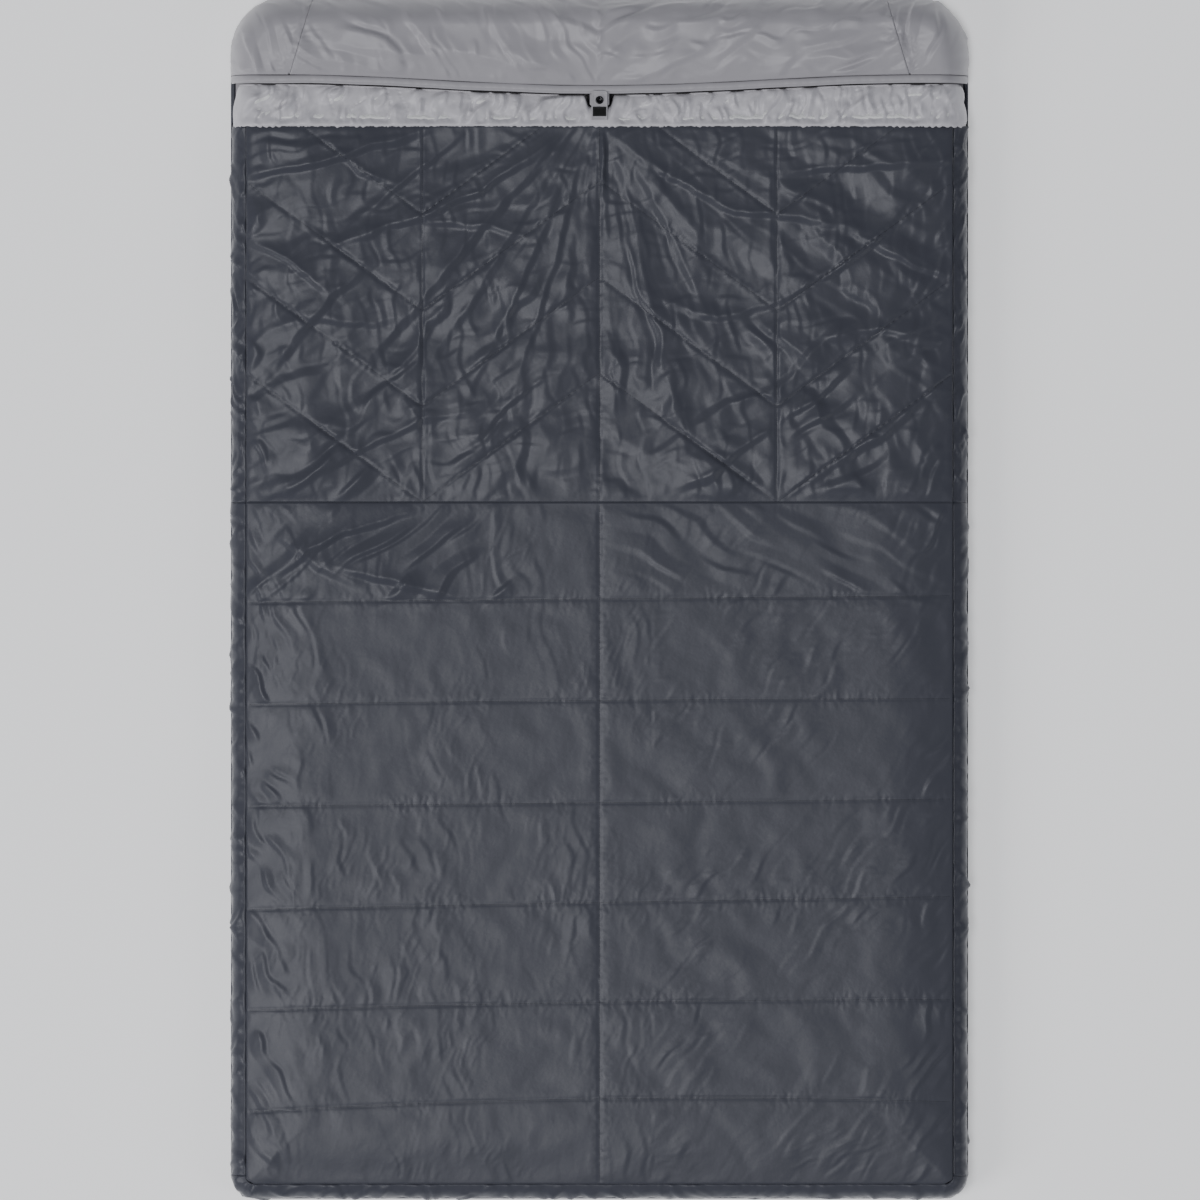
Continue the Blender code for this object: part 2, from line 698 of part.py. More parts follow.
def add_tab(parent):
    hole = BARREL_RADIUS + BARREL_CLEARANCE
    outline = rounded_end(TAB_WIDTH / 2, TAB_ROOT_Y, TAB_TIP_Y, TAB_CORNER)
    loops = [outline, circle(0, SNAP_Y, hole)]
    add_plate("tab_strap", loops, TAB_BOTTOM, TAB_THICKNESS, LIGHT, parent)
    tab_top = TAB_BOTTOM + TAB_THICKNESS
    reach = TAB_THICKNESS + 2 * GAP + SOCKET_PLATE
    dome = [
        (CAP_RADIUS * sin(radians(a)), CAP_HEIGHT * cos(radians(a))) for a in (0, 25, 45, 65, 80, 90)
    ]
    cap = dome + [(BARREL_RADIUS, 0), (BARREL_RADIUS, -reach), (0, -reach)]
    add_turned("snap_cap", cap, False, (0, SNAP_Y, tab_top + GAP), SNAP_METAL, parent)
    socket_bottom = TONGUE_TOP + 2 * GAP + STUD_FLANGE
    mouth = SPIGOT_RADIUS + BARREL_CLEARANCE
    socket = (
        (SOCKET_RADIUS, SOCKET_HEIGHT), (SOCKET_RADIUS, 0), (mouth, 0),
        (mouth, SOCKET_HEIGHT - SOCKET_PLATE), (hole, SOCKET_HEIGHT - SOCKET_PLATE),
        (hole, SOCKET_HEIGHT),
    )
    add_turned("snap_socket", socket, True, (0, SNAP_Y, socket_bottom), SNAP_METAL, parent)
    near = TAB_ROOT_Y + PATCH_FROM_ROOT
    patch = rounded_end(PATCH_WIDTH / 2, near, near + PATCH_LENGTH, PATCH_CORNER)
    add_plate("hook_patch", [patch], tab_top + GAP, PATCH_THICKNESS, HOOK_TAPE, parent)


def add_zip(side_name, side, cover):
    """One side's two tapes with their coils."""
    half = TAPE_THICKNESS / 2

    def tape(name, free_z, bead_z, near, far, parent):
        """A tape from free_z to bead_z with the coil's envelope along its bead_z edge."""
        up = 1 if bead_z > free_z else -1
        inner = bead_z - up * BEAD
        outline = (
            (-half, free_z), (half, free_z), (half, inner), (BEAD / 2, inner),
            (BEAD / 2, bead_z), (-BEAD / 2, bead_z), (-BEAD / 2, inner), (-half, inner),
        )
        form = bmesh.new()
        face = form.faces.new([form.verts.new((side * CHAIN_X + x, near, z)) for x, z in outline])
        made = bmesh.ops.extrude_face_region(form, geom=[face])
        moved = [item for item in made["geom"] if isinstance(item, bmesh.types.BMVert)]
        bmesh.ops.translate(form, vec=(0, far - near, 0), verts=moved)
        mesh_object(name, form, ZIP_TAPE, parent)

    start = FOLD_Y + TAPE_START
    end = COLLAR_SEAM + TAPE_PAST_COLLAR_SEAM
    tape(f"zip_base_tape_{side_name}", FLOOR, BASE_BEAD_TOP, start, end, None)
    cover_bead = BASE_BEAD_TOP + BEAD_SPLIT
    cover_edge = cover_bead + BEAD + COVER_TAPE_RISE
    tape(f"zip_cover_tape_{side_name}", cover_edge, cover_bead, start, COVER_COIL_END, cover)


def add_slider(side_name, side):
    """A slider with its post between the coils and its bail, and the pull on the bail."""
    place = Vector((side * CHAIN_X, SLIDER_Y, CHAIN_Z))
    axis = add_axis(f"slider_axis_{side_name}", place)
    inner = BEAD / 2 + SLIDER_CLEARANCE
    plate_size = (SLIDER_PLATE, SLIDER_LENGTH, SLIDER_HEIGHT)

    def offset(x, y, z):
        return place + Vector((side * x, y, z))

    middle = inner + SLIDER_PLATE / 2
    slider = add_box(f"zip_slider_{side_name}", offset(middle, 0, 0), plate_size, ZIP_METAL, axis)
    bail_x = inner + SLIDER_PLATE + BAIL_RISE
    post_y = SLIDER_LENGTH / 2 - POST_SETBACK
    sunk = SLIDER_PLATE / 2
    foot_z = (BAIL_SPAN - BAIL_FOOT) / 2
    foot_centre, foot_rise = bail_x - BAIL_RISE / 2 - sunk / 2, BAIL_RISE + sunk
    helpers = [
        add_box(f"inner_plate_{side_name}", offset(-middle, 0, 0), plate_size, collection=CUTTERS),
        add_box(
            f"slider_post_{side_name}", offset(0, post_y, 0),
            (2 * inner + 2 * sunk, POST_DEPTH, SLIDER_POST), collection=CUTTERS,
        ),
        add_upright_rod(
            f"bail_bar_{side_name}", offset(bail_x, 0, 0), BAIL_RADIUS, BAIL_SPAN - BAIL_FOOT,
            collection=CUTTERS,
        ),
    ]
    for end, z in (("low", -foot_z), ("high", foot_z)):
        size = (foot_rise + BAIL_RADIUS, BAIL_FOOT, BAIL_FOOT)
        centre = offset(foot_centre + BAIL_RADIUS / 2, 0, z)
        helpers.append(
            add_box(f"bail_foot_{end}_{side_name}", centre, size, collection=CUTTERS)
        )
    for helper in helpers:
        combine(slider, helper, "UNION")

    pull_axis = add_axis(f"pull_axis_{side_name}", offset(bail_x, 0, 0), axis)
    pull = add_upright_rod(
        f"zip_pull_{side_name}", offset(bail_x, 0, 0), EYE_RADIUS, EYE_WIDTH, PULL_PLASTIC, pull_axis
    )
    start = EYE_BORE + (EYE_RADIUS - EYE_BORE) / 2
    blade = add_box(
        f"pull_blade_{side_name}", offset(bail_x, -start - PULL_LENGTH / 2, 0),
        (PULL_THICKNESS, PULL_LENGTH, PULL_WIDTH), collection=CUTTERS,
    )
    bore = add_upright_rod(
        f"pull_bore_{side_name}", offset(bail_x, 0, 0), EYE_BORE, 2 * PULL_WIDTH, collection=CUTTERS
    )
    combine(pull, blade, "UNION")
    combine(pull, bore, "DIFFERENCE")


add_base()
add_hood()
add_hem()
add_tongue()
add_cover_layers("lower", lower_rows(), None)
add_lower_walls()
fold = add_axis("turn_down_axis", (0, FOLD_Y, COVER_TOP + AXIS_RISE))
add_cover_layers("upper", UPPER_ROWS, fold)
add_upper_walls(fold)
add_collar(fold)
tab_root = add_axis("tab_axis", (0, TAB_ROOT_Y, TAB_BOTTOM + TAB_THICKNESS / 2), fold)
add_tab(tab_root)
for zip_name, zip_side in (("left", -1), ("right", 1)):
    add_zip(zip_name, zip_side, fold)
    add_slider(zip_name, zip_side)
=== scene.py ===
"""The looks of a two-person camp quilt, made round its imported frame.

Metres, +Z up, +Y towards the head. Soft pieces are sheets of quads that repeat the frame's own
shapes, with folds, puckers and stitch lines worked into them.
"""

import json
from math import pi, radians

import bmesh
import bpy
import numpy as np
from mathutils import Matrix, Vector


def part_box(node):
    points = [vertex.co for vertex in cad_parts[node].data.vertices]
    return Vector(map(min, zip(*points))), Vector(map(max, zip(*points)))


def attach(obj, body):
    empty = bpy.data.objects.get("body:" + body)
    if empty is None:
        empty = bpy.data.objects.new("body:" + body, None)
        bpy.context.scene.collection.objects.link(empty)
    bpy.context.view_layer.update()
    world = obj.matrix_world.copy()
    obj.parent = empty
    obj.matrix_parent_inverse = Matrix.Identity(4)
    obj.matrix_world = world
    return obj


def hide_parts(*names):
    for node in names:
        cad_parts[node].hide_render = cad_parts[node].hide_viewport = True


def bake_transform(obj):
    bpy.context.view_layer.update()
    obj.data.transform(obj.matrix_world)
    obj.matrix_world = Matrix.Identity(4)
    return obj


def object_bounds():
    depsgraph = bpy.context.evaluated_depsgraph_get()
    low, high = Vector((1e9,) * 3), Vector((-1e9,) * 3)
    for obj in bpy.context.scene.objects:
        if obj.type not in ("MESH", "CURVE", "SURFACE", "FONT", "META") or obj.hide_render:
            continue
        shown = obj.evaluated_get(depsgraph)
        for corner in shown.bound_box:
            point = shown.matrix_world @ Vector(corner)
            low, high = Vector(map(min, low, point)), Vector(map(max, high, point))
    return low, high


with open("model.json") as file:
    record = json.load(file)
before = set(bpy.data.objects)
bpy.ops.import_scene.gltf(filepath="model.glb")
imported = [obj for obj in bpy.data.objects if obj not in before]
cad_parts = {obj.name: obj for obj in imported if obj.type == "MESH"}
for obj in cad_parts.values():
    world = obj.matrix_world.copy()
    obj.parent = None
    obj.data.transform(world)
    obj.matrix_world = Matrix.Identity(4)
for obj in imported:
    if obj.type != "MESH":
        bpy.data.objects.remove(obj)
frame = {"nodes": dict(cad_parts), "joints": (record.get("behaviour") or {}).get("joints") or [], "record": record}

CAD_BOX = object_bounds()
HIGHEST = 1.03 * CAD_BOX[1][2] + 0.009  # soft folds are eased down below this

# Places and sizes read from the frame
HALF_WIDTH, HALF_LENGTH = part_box("base_shell")[1].xy
BASE_LINING_LOW, BASE_LINING_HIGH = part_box("base_lining")
GAP = 0.0003  # between pieces that touch
FLOOR = BASE_LINING_HIGH.z + GAP
SEAM_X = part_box("upper_shell_right")[1].x
COVER_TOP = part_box("upper_shell_right")[1].z
SEAM_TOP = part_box("upper_wall_right")[1].z
COLLAR_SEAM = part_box("upper_shell_right")[1].y
FOLD_Y = next(joint["pos_m"][1] for joint in frame["joints"] if joint["name"] == "turn_down")
FOOT_SEAM_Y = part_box("lower_shell_right")[0].y
LINING_LOW, LINING_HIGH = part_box("upper_lining")
MOUTH_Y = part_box("hood_hem")[0].y
HOOD_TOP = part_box("hood_centre_panel")[1].z
TAB_LOW, TAB_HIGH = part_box("tab_strap")
PATCH_LOW, PATCH_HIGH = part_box("hook_patch")
TONGUE_LOW, TONGUE_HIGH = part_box("hood_tongue")
CAP_LOW, CAP_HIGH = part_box("snap_cap")
SNAP_Y = (CAP_LOW.y + CAP_HIGH.y) / 2

# The frame's shapes that the fabric follows
HEAD_RADIUS = 0.105
FOOT_RADIUS = 0.045
SEAM_INSET = HALF_WIDTH - SEAM_X
SEAM_CORNER = FOOT_RADIUS - SEAM_INSET
CROWN_REACH = 0.12  # side seam to where the cover is level
CROWN_POWER = 1.6  # how soon it levels off
CROWN_SINK = 0.002  # the slack cloth lies a little below the frame's crown
EDGE_LIFT = 0.005  # and stands a little above its side seams
WALL_BULGE = 0.0275  # the widest part of a wall past its seam
WALL_MIDDLE = 0.050  # and its height
UPPER_WALL_TURN = 115  # degrees that an upper wall goes round its bulge, down to the zip
LOWER_WALL_TURN = 90  # and a lower one, before it drops straight to the base
UPPER_WALL_CLOTH = 0.072  # each wall's height in flat cloth
LOWER_WALL_CLOTH = 0.092
MOUTH_BOW = 0.020  # the middle of the hood's mouth ahead of its ends
BOW_HALF_WIDTH = HALF_WIDTH - 0.0858
MOUTH_TOP = TAB_LOW.z - 0.0009
CREST_REACH = 0.08  # mouth to where the hood is at its full height
DOME = 0.055  # plan width of the hood's rounded edge
HOOD_SEAM_HEAD = HALF_WIDTH - 0.1558  # half the centre panel's width at the head end
HOOD_SEAM_MOUTH = HALF_WIDTH - 0.1108  # and at the mouth
HEM_WIDTH = 0.015
HEM_THICKNESS = 0.004
SWING_CLEARANCE = 0.006  # collar to hem
NOTCH_DEPTH = 0.021  # the collar's hollow under the tab
NOTCH_FLAT = 0.0188
NOTCH_HALF_WIDTH = 0.029
COLLAR_THICKNESS = 0.026
COLLAR_DROP = 0.0105  # the collar's middle below its seam with the cover
COLLAR_BEND = 0.036  # radius of its bends down the sides
COLLAR_MIDDLE = COVER_TOP - 0.0006 - COLLAR_DROP
COLLAR_STRAIGHT = SEAM_X + WALL_BULGE - 0.001 - COLLAR_THICKNESS / 2 - COLLAR_BEND
COLLAR_END = 0.042  # height of its ends
COLLAR_SWELL = 0.003  # how far the puffed collar fills its gap to the hem
FILLING_SHARE = 0.62  # of the collar's section
CORD_RADIUS = 0.0014
CORD_SETBACK = 0.0060

# Quilting: each row's height at the left seam, the centre seam and the right seam
ROWS = (
    (-0.008, -0.002, 0.004), (-0.198, -0.190, -0.187), (-0.386, -0.380, -0.373),
    (-0.578, -0.565, -0.554), (-0.765, -0.750, -0.745), (-0.954, -0.929, -0.935),
)
UPRIGHT_X = 0.329  # the upper cover's two upright stitch lines
CHEVRON_STEP = 0.178
CHEVRON_SLOPE = 0.73
FAN_Y = 0.94  # where the folds of the upper cover would meet

FABRIC = 0.0010  # thickness of a sheet with its seams
HEM_FABRIC = 0.0007
BASE_FABRIC = 0.0006
LINING_FABRIC = 0.0005
STRAP_FABRIC = 0.0009
EASE = 0.005  # how far below the highest place tall folds start to be eased down
COVER_CELL = 0.0032  # between a cover's points
SIM_CELL = 0.0072  # between its points while it is let go
SIDES = (("left", -1), ("right", 1))


# Numbers that vary over a surface


def smooth(share):
    return (1 - np.cos(pi * np.clip(share, 0, 1))) / 2


def noise(x, y, size, seed):
    """Soft hills from about -1 to 1, each about size across."""
    turns = np.random.default_rng(seed).uniform(0, 2 * pi, (256, 256))
    u, v = np.asarray(x) / size + 128, np.asarray(y) / size + 128
    i, j = np.floor(u).astype(int), np.floor(v).astype(int)
    fu, fv = u - i, v - j

    def slope(di, dj):
        angle = turns[(j + dj) % 256, (i + di) % 256]
        return np.cos(angle) * (fu - di) + np.sin(angle) * (fv - dj)

    su, sv = (f * f * f * (f * (f * 6 - 15) + 10) for f in (fu, fv))
    low = slope(0, 0) * (1 - su) + slope(1, 0) * su
    high = slope(0, 1) * (1 - su) + slope(1, 1) * su
    return 1.5 * (low * (1 - sv) + high * sv)


def creases(x, y, width, length, heading, seed):
    """Sharp-crested ridges from 0 to 1 along a heading in degrees, which wander a little."""
    c, s = np.cos(np.radians(heading)), np.sin(np.radians(heading))
    along, across = x * c + y * s, y * c - x * s
    across = across + 0.7 * width * noise(x, y, 1.6 * width, seed + 50)
    along = along + 0.5 * length * noise(x, y, length, seed + 51)
    ridge = 1 - np.abs(noise(along / length, across / width, 1.0, seed)) * 1.6
    return np.clip(ridge, 0, 1) ** 1.5


def facets(x, y, width, length, heading, seed):
    """Flat three-cornered faces with sharp edges, heights from -1 to 1, longest along a heading."""
    c, s = np.cos(np.radians(heading)), np.sin(np.radians(heading))
    u = (x * c + y * s) / length + 0.35 * noise(x, y, 2.2 * width, seed + 60)
    v = (y * c - x * s) / width + 0.35 * noise(x, y, 2.2 * width, seed + 61)
    heights = np.random.default_rng(seed).uniform(-1, 1, (256, 256))
    u, v = u + 128 + 0.5 * v, v + 128
    i, j = np.floor(u).astype(int), np.floor(v).astype(int)
    fu, fv = u - i, v - j

    def height(di, dj):
        return heights[(j + dj) % 256, (i + di) % 256]

    near = height(0, 0) * (1 - fu - fv) + height(1, 0) * fu + height(0, 1) * fv
    far = height(1, 1) * (fu + fv - 1) + height(0, 1) * (1 - fu) + height(1, 0) * (1 - fv)
    return np.where(fu + fv < 1, near, far)


def folds_apart(place, along, seed):
    """Flat-sided folds from 0 to 1, one to each whole number of place. Each has a broad face and a
    steep one, a height and a stretch of its own length."""
    fold = np.floor(place)
    table = np.random.default_rng(seed + 5).uniform(0, 1, (3, 512))
    height, lean, start = (row[fold.astype(int) % 512] for row in table)
    share = place - fold
    crest = np.where(lean > 0.5, 0.74, 0.26)
    face = np.where(share < crest, share / crest, (1 - share) / (1 - crest))
    swell = smooth(0.45 + 1.3 * noise(along + 40 * start, 0.618 * fold, 1.0, seed + 2))
    return face * swell * (0.25 + 0.75 * height)


def pleats(x, y, width, length, heading, seed):
    """Flat-sided folds from 0 to 1 along a heading in degrees, which wander, come and go."""
    c, s = np.cos(np.radians(heading)), np.sin(np.radians(heading))
    along, across = (x * c + y * s) / length, (y * c - x * s) / width
    place = across + 0.8 * noise(along, across / 4, 1.0, seed)
    place = place + 0.2 * noise(x, y, 2 * width, seed + 1)
    return folds_apart(place, 1.3 * along, seed)


def fan(x, y, count, seed):
    """Heights of flat-sided folds that fan out from under the tab, count of them in a half turn."""
    away = np.hypot(x, FAN_Y - y)
    turn = np.arctan2(FAN_Y - y, x)
    place = turn * count / pi + 0.9 * noise(away / 0.30, turn / 0.5, 1.0, seed)
    place = place + 0.3 * noise(x, y, 0.07, seed + 1)
    return folds_apart(place, away / 0.16, seed) * np.minimum(away * pi / count, 0.07)


def fold_lines(x, y, folds):
    """Heights of single folds, each (height, width, points). For someone who follows its points a
    fold is gentle on its left and steep on its right, and it fades out at both ends."""
    total = np.zeros(np.broadcast(x, y).shape)
    for height, width, *points in folds:
        nearest = np.full(total.shape, 9.0)
        signed = np.zeros(total.shape)
        fade = np.zeros(total.shape)
        lengths = [0.0]
        for (ax, ay), (bx, by) in zip(points, points[1:]):
            lengths.append(lengths[-1] + np.hypot(bx - ax, by - ay))
        for k, ((ax, ay), (bx, by)) in enumerate(zip(points, points[1:])):
            dx, dy = bx - ax, by - ay
            run = np.hypot(dx, dy)
            share = np.clip(((x - ax) * dx + (y - ay) * dy) / run**2, 0, 1)
            px, py = x - ax - share * dx, y - ay - share * dy
            far = np.hypot(px, py)
            closer = far < nearest
            nearest = np.where(closer, far, nearest)
            side = (px * -dy + py * dx) / run
            signed = np.where(closer, np.where(side < 0, -far, far), signed)
            along = (lengths[k] + share * run) / lengths[-1]
            fade = np.where(closer, np.sin(pi * np.clip(along, 0.02, 0.98)) ** 0.6, fade)
        wander = signed + 0.5 * width * noise(x, y, 0.05, 55)
        gentle = np.exp(-np.maximum(wander, 0) / (3 * width))
        steep = np.clip(1 + wander / (1.2 * width), 0, 1)
        total += height * fade * np.where(wander > 0, gentle, steep)
    return total


# The frame's shapes, for whole arrays of points


def edge_distance(x, y):
    radius = np.where(y > 0, HEAD_RADIUS, FOOT_RADIUS)
    across, along = HALF_WIDTH - np.abs(x), HALF_LENGTH - np.abs(y)
    corner = radius - np.hypot(radius - across, radius - along)
    return np.where((across < radius) & (along < radius), corner, np.minimum(across, along))


def cover_z(x, y):
    inside = np.clip((edge_distance(x, y) - SEAM_INSET) / CROWN_REACH, 0, 1)
    low, high = SEAM_TOP + EDGE_LIFT, COVER_TOP - CROWN_SINK
    return low + (high - low) * (1 - (1 - inside) ** CROWN_POWER)


def cover_half_width(y):
    into_corner = np.clip(FOOT_SEAM_Y + SEAM_CORNER - y, 0, SEAM_CORNER)
    return SEAM_X - SEAM_CORNER + np.sqrt(SEAM_CORNER**2 - into_corner**2)


def mouth_y(x):
    return MOUTH_Y + MOUTH_BOW * smooth(np.abs(x) / BOW_HALF_WIDTH)


def hood_z(x, y):
    crest = MOUTH_TOP + (HOOD_TOP - MOUTH_TOP) * smooth((y - MOUTH_Y) / CREST_REACH)
    inside = np.clip(edge_distance(x, y) / DOME, 0, 1)
    return FLOOR + (crest - FLOOR) * np.sqrt(1 - (1 - inside) ** 2)


def collar_front(x):
    notch = 1 - smooth((np.abs(x) - NOTCH_FLAT) / (NOTCH_HALF_WIDTH - NOTCH_FLAT))
    return mouth_y(x) - SWING_CLEARANCE - NOTCH_DEPTH * notch


# Making meshes


def grid_faces(rows, columns):
    index = np.arange(rows * columns).reshape(rows, columns)
    quads = np.stack([index[:-1, :-1], index[:-1, 1:], index[1:, 1:], index[1:, :-1]], -1)
    return quads.reshape(-1, 4)


def linked(name, mesh, material):
    """A smooth piece in one material, from its mesh."""
    mesh.shade_smooth()
    mesh.materials.append(material)
    obj = bpy.data.objects.new(name, mesh)
    bpy.context.scene.collection.objects.link(obj)
    return obj


def close_downwards(verts, uvs, rows, columns, floor_z):
    """Adds sides to a sheet and a flat bottom of straight strips from side to side, which lets it
    bend at a fold. Returns the new points, their flat places and the new faces."""
    index = np.arange(rows * columns).reshape(rows, columns)
    loop = np.concatenate([index[0], index[1:, -1], index[-1, -2::-1], index[-2:0:-1, 0]])
    low = verts[loop].copy()
    low[:, 2] = floor_z
    first, count = len(verts), len(loop)
    after = np.roll(loop, -1)
    step = np.arange(count)
    faces = np.stack([after, loop, first + step, first + (step + 1) % count], -1).tolist()
    right = columns - 1
    faces.append([first + k for k in (right + 1, *range(right, -1, -1), count - 1)])
    for k in range(1, rows - 2):
        strip = (right + k + 1, right + k, count - k, count - k - 1)
        faces.append([first + corner for corner in strip])
    top = right + rows - 2
    faces.append([first + k for k in range(top, top + columns + 1)][::-1])
    return np.concatenate([verts, low]), np.concatenate([uvs, uvs[loop]]), faces


def cloth_object(name, points, flat, material, thickness=0.0, floor_z=None):
    """A sheet whose points are a rows x columns x 3 array and whose flat places become its UV map.
    It is closed by a thickness, or downwards to the height floor_z."""
    rows, columns = points.shape[:2]
    verts = points.reshape(-1, 3).copy()
    over = np.maximum(verts[:, 2] - (HIGHEST - EASE), 0)
    verts[:, 2] += EASE * (1 - np.exp(-over / EASE)) - over
    uvs = flat.reshape(-1, 2)
    faces = grid_faces(rows, columns).tolist()
    if floor_z is not None:
        verts, uvs, more = close_downwards(verts, uvs, rows, columns, floor_z)
        faces += more
    mesh = bpy.data.meshes.new(name)
    mesh.from_pydata(verts.tolist(), [], faces)
    mesh.uv_layers.new(name="cloth")
    corner = np.empty(len(mesh.loops), np.int32)
    mesh.loops.foreach_get("vertex_index", corner)
    mesh.uv_layers["cloth"].data.foreach_set("uv", uvs[corner].astype(np.float32).ravel())
    mesh.update()
    obj = linked(name, mesh, material)
    if thickness:
        thicken(obj, thickness)
    return obj


def thicken(sheet, thickness):
    modifier = sheet.modifiers.new("Thickness", "SOLIDIFY")
    modifier.thickness = thickness
    modifier.offset = -1
    apply_modifiers(sheet)


def deselect():
    bpy.ops.object.select_all(action="DESELECT")


def apply_place():
    """Puts a new primitive's place into its mesh, which leaves its object at the origin."""
    bpy.ops.object.transform_apply(location=True, rotation=True, scale=True)


def apply_modifiers(obj):
    deselect()
    bpy.context.view_layer.objects.active = obj
    obj.select_set(True)
    for modifier in list(obj.modifiers):
        bpy.ops.object.modifier_apply(modifier=modifier.name)
    obj.select_set(False)


def push_out(points, height):
    """Moves each point of a sheet along the sheet's own normal."""
    du = np.gradient(points, axis=1)
    dv = np.gradient(points, axis=0)
    normal = np.cross(du, dv)
    length = np.linalg.norm(normal, axis=2, keepdims=True)
    return points + height[..., None] * normal / np.maximum(length, 1e-12)


def finer(coarse, count):
    """Resamples the rows of an array to count rows with a smooth curve."""
    old = len(coarse)
    place = np.linspace(0, old - 1, count)
    i = np.clip(np.floor(place).astype(int), 0, old - 2)
    f = (place - i).reshape(-1, *[1] * (coarse.ndim - 1))
    take = [coarse[np.clip(i + k, 0, old - 1)] for k in (-1, 0, 1, 2)]
    return 0.5 * (
        2 * take[1] + (take[2] - take[0]) * f
        + (2 * take[0] - 5 * take[1] + 4 * take[2] - take[3]) * f**2
        + (3 * take[1] - take[0] - 3 * take[2] + take[3]) * f**3
    )


def blurred(values):
    """Each value mixed with its neighbours', which takes out ripples as short as the cells."""
    for axis in (0, 1):
        padded = np.concatenate(
            [values.take([0], axis), values, values.take([-1], axis)], axis
        )
        count = values.shape[axis]
        before, after = (padded.take(range(k, k + count), axis) for k in (0, 2))
        values = (before + 2 * values + after) / 4
    return values


def crumple(points, hold, extra):
    """Lets a sheet with a share of extra cloth buckle by itself. hold is each point's grip."""
    rows, columns = points.shape[:2]
    bpy.ops.mesh.primitive_grid_add(x_subdivisions=columns - 1, y_subdivisions=rows - 1, size=1)
    obj = bpy.context.object
    obj.data.vertices.foreach_set("co", points.astype(np.float32).ravel())
    obj.data.update()
    group = obj.vertex_groups.new(name="hold")
    for grip in np.unique(hold):
        group.add(np.flatnonzero(hold.ravel() == grip).tolist(), float(grip), "REPLACE")
    cloth = obj.modifiers.new("Cloth", "CLOTH")
    cloth.settings.quality = 5
    cloth.settings.mass = 0.1
    cloth.settings.tension_stiffness = 20
    cloth.settings.compression_stiffness = 20
    cloth.settings.shear_stiffness = 7
    cloth.settings.bending_stiffness = 0.5
    cloth.settings.air_damping = 2
    cloth.settings.vertex_group_mass = "hold"
    cloth.settings.shrink_min = -extra
    cloth.settings.effector_weights.gravity = 0
    cloth.collision_settings.use_collision = False
    for step in range(1, SIM_FRAMES + 1):
        bpy.context.scene.frame_set(step)
    made = obj.evaluated_get(bpy.context.evaluated_depsgraph_get()).to_mesh()
    result = np.empty(rows * columns * 3, np.float32)
    made.vertices.foreach_get("co", result)
    bpy.context.scene.frame_set(1)
    bpy.data.objects.remove(obj, do_unlink=True)
    return result.reshape(rows, columns, 3).astype(float)


# Materials


def srgb(code):
    """A linear colour from a hex code."""
    parts = [int(code[k:k + 2], 16) / 255 for k in (0, 2, 4)]
    linear = [p / 12.92 if p <= 0.04045 else ((p + 0.055) / 1.055) ** 2.4 for p in parts]
    return (*linear, 1.0)


def add_node(tree, kind, inputs=None, **settings):
    """Adds a node. An input is a value or another node's socket."""
    made = tree.nodes.new("ShaderNode" + kind)
    for name, value in settings.items():
        setattr(made, name, value)
    for name, value in (inputs or {}).items():
        if isinstance(value, bpy.types.NodeSocket):
            tree.links.new(value, made.inputs[name])
        else:
            made.inputs[name].default_value = value
    return made


def new_material(name):
    material = bpy.data.materials.new(name)
    material.use_nodes = True
    return material, material.node_tree, material.node_tree.nodes["Principled BSDF"]


def taffeta(name, face, shade, roughness, specular):
    """Calendered polyester taffeta: thin, crisp and slightly shiny, so each small crinkle catches
    the light, with a fine plain weave. The threads are drawn 1 mm apart, coarser than real."""
    material, tree, shader = new_material(name)
    cloth = add_node(tree, "UVMap", uv_map="cloth").outputs["UV"]
    patches = add_node(tree, "TexNoise", {"Vector": cloth, "Scale": 14.0, "Detail": 3.0})
    mixed = add_node(
        tree, "Mix", {"Factor": patches.outputs["Fac"], 6: srgb(face), 7: srgb(shade)}, data_type="RGBA"
    )
    tree.links.new(mixed.outputs[2], shader.inputs["Base Color"])
    rough = add_node(
        tree, "MapRange",
        {"Value": patches.outputs["Fac"], "To Min": roughness - 0.06, "To Max": roughness + 0.06},
    )
    tree.links.new(rough.outputs["Result"], shader.inputs["Roughness"])
    shader.inputs["Sheen Weight"].default_value = 0.06
    shader.inputs["Sheen Roughness"].default_value = 0.35
    shader.inputs["Specular IOR Level"].default_value = specular
    crinkle = add_node(
        tree, "TexNoise", {"Vector": cloth, "Scale": 110.0, "Detail": 3.0, "Roughness": 0.5}
    )
    bent = add_node(
        tree, "Bump", {"Height": crinkle.outputs["Fac"], "Strength": 0.3, "Distance": 0.0005}
    )
    warp = add_node(tree, "TexWave", {"Vector": cloth, "Scale": 160.0}, bands_direction="X")
    weft = add_node(tree, "TexWave", {"Vector": cloth, "Scale": 160.0}, bands_direction="Y")
    weave = add_node(
        tree, "Math", {0: warp.outputs["Fac"], 1: weft.outputs["Fac"]}, operation="MULTIPLY"
    )
    woven = add_node(
        tree, "Bump",
        {"Height": weave.outputs[0], "Strength": 0.3, "Distance": 0.0001,
         "Normal": bent.outputs["Normal"]},
    )
    tree.links.new(woven.outputs["Normal"], shader.inputs["Normal"])
    return material


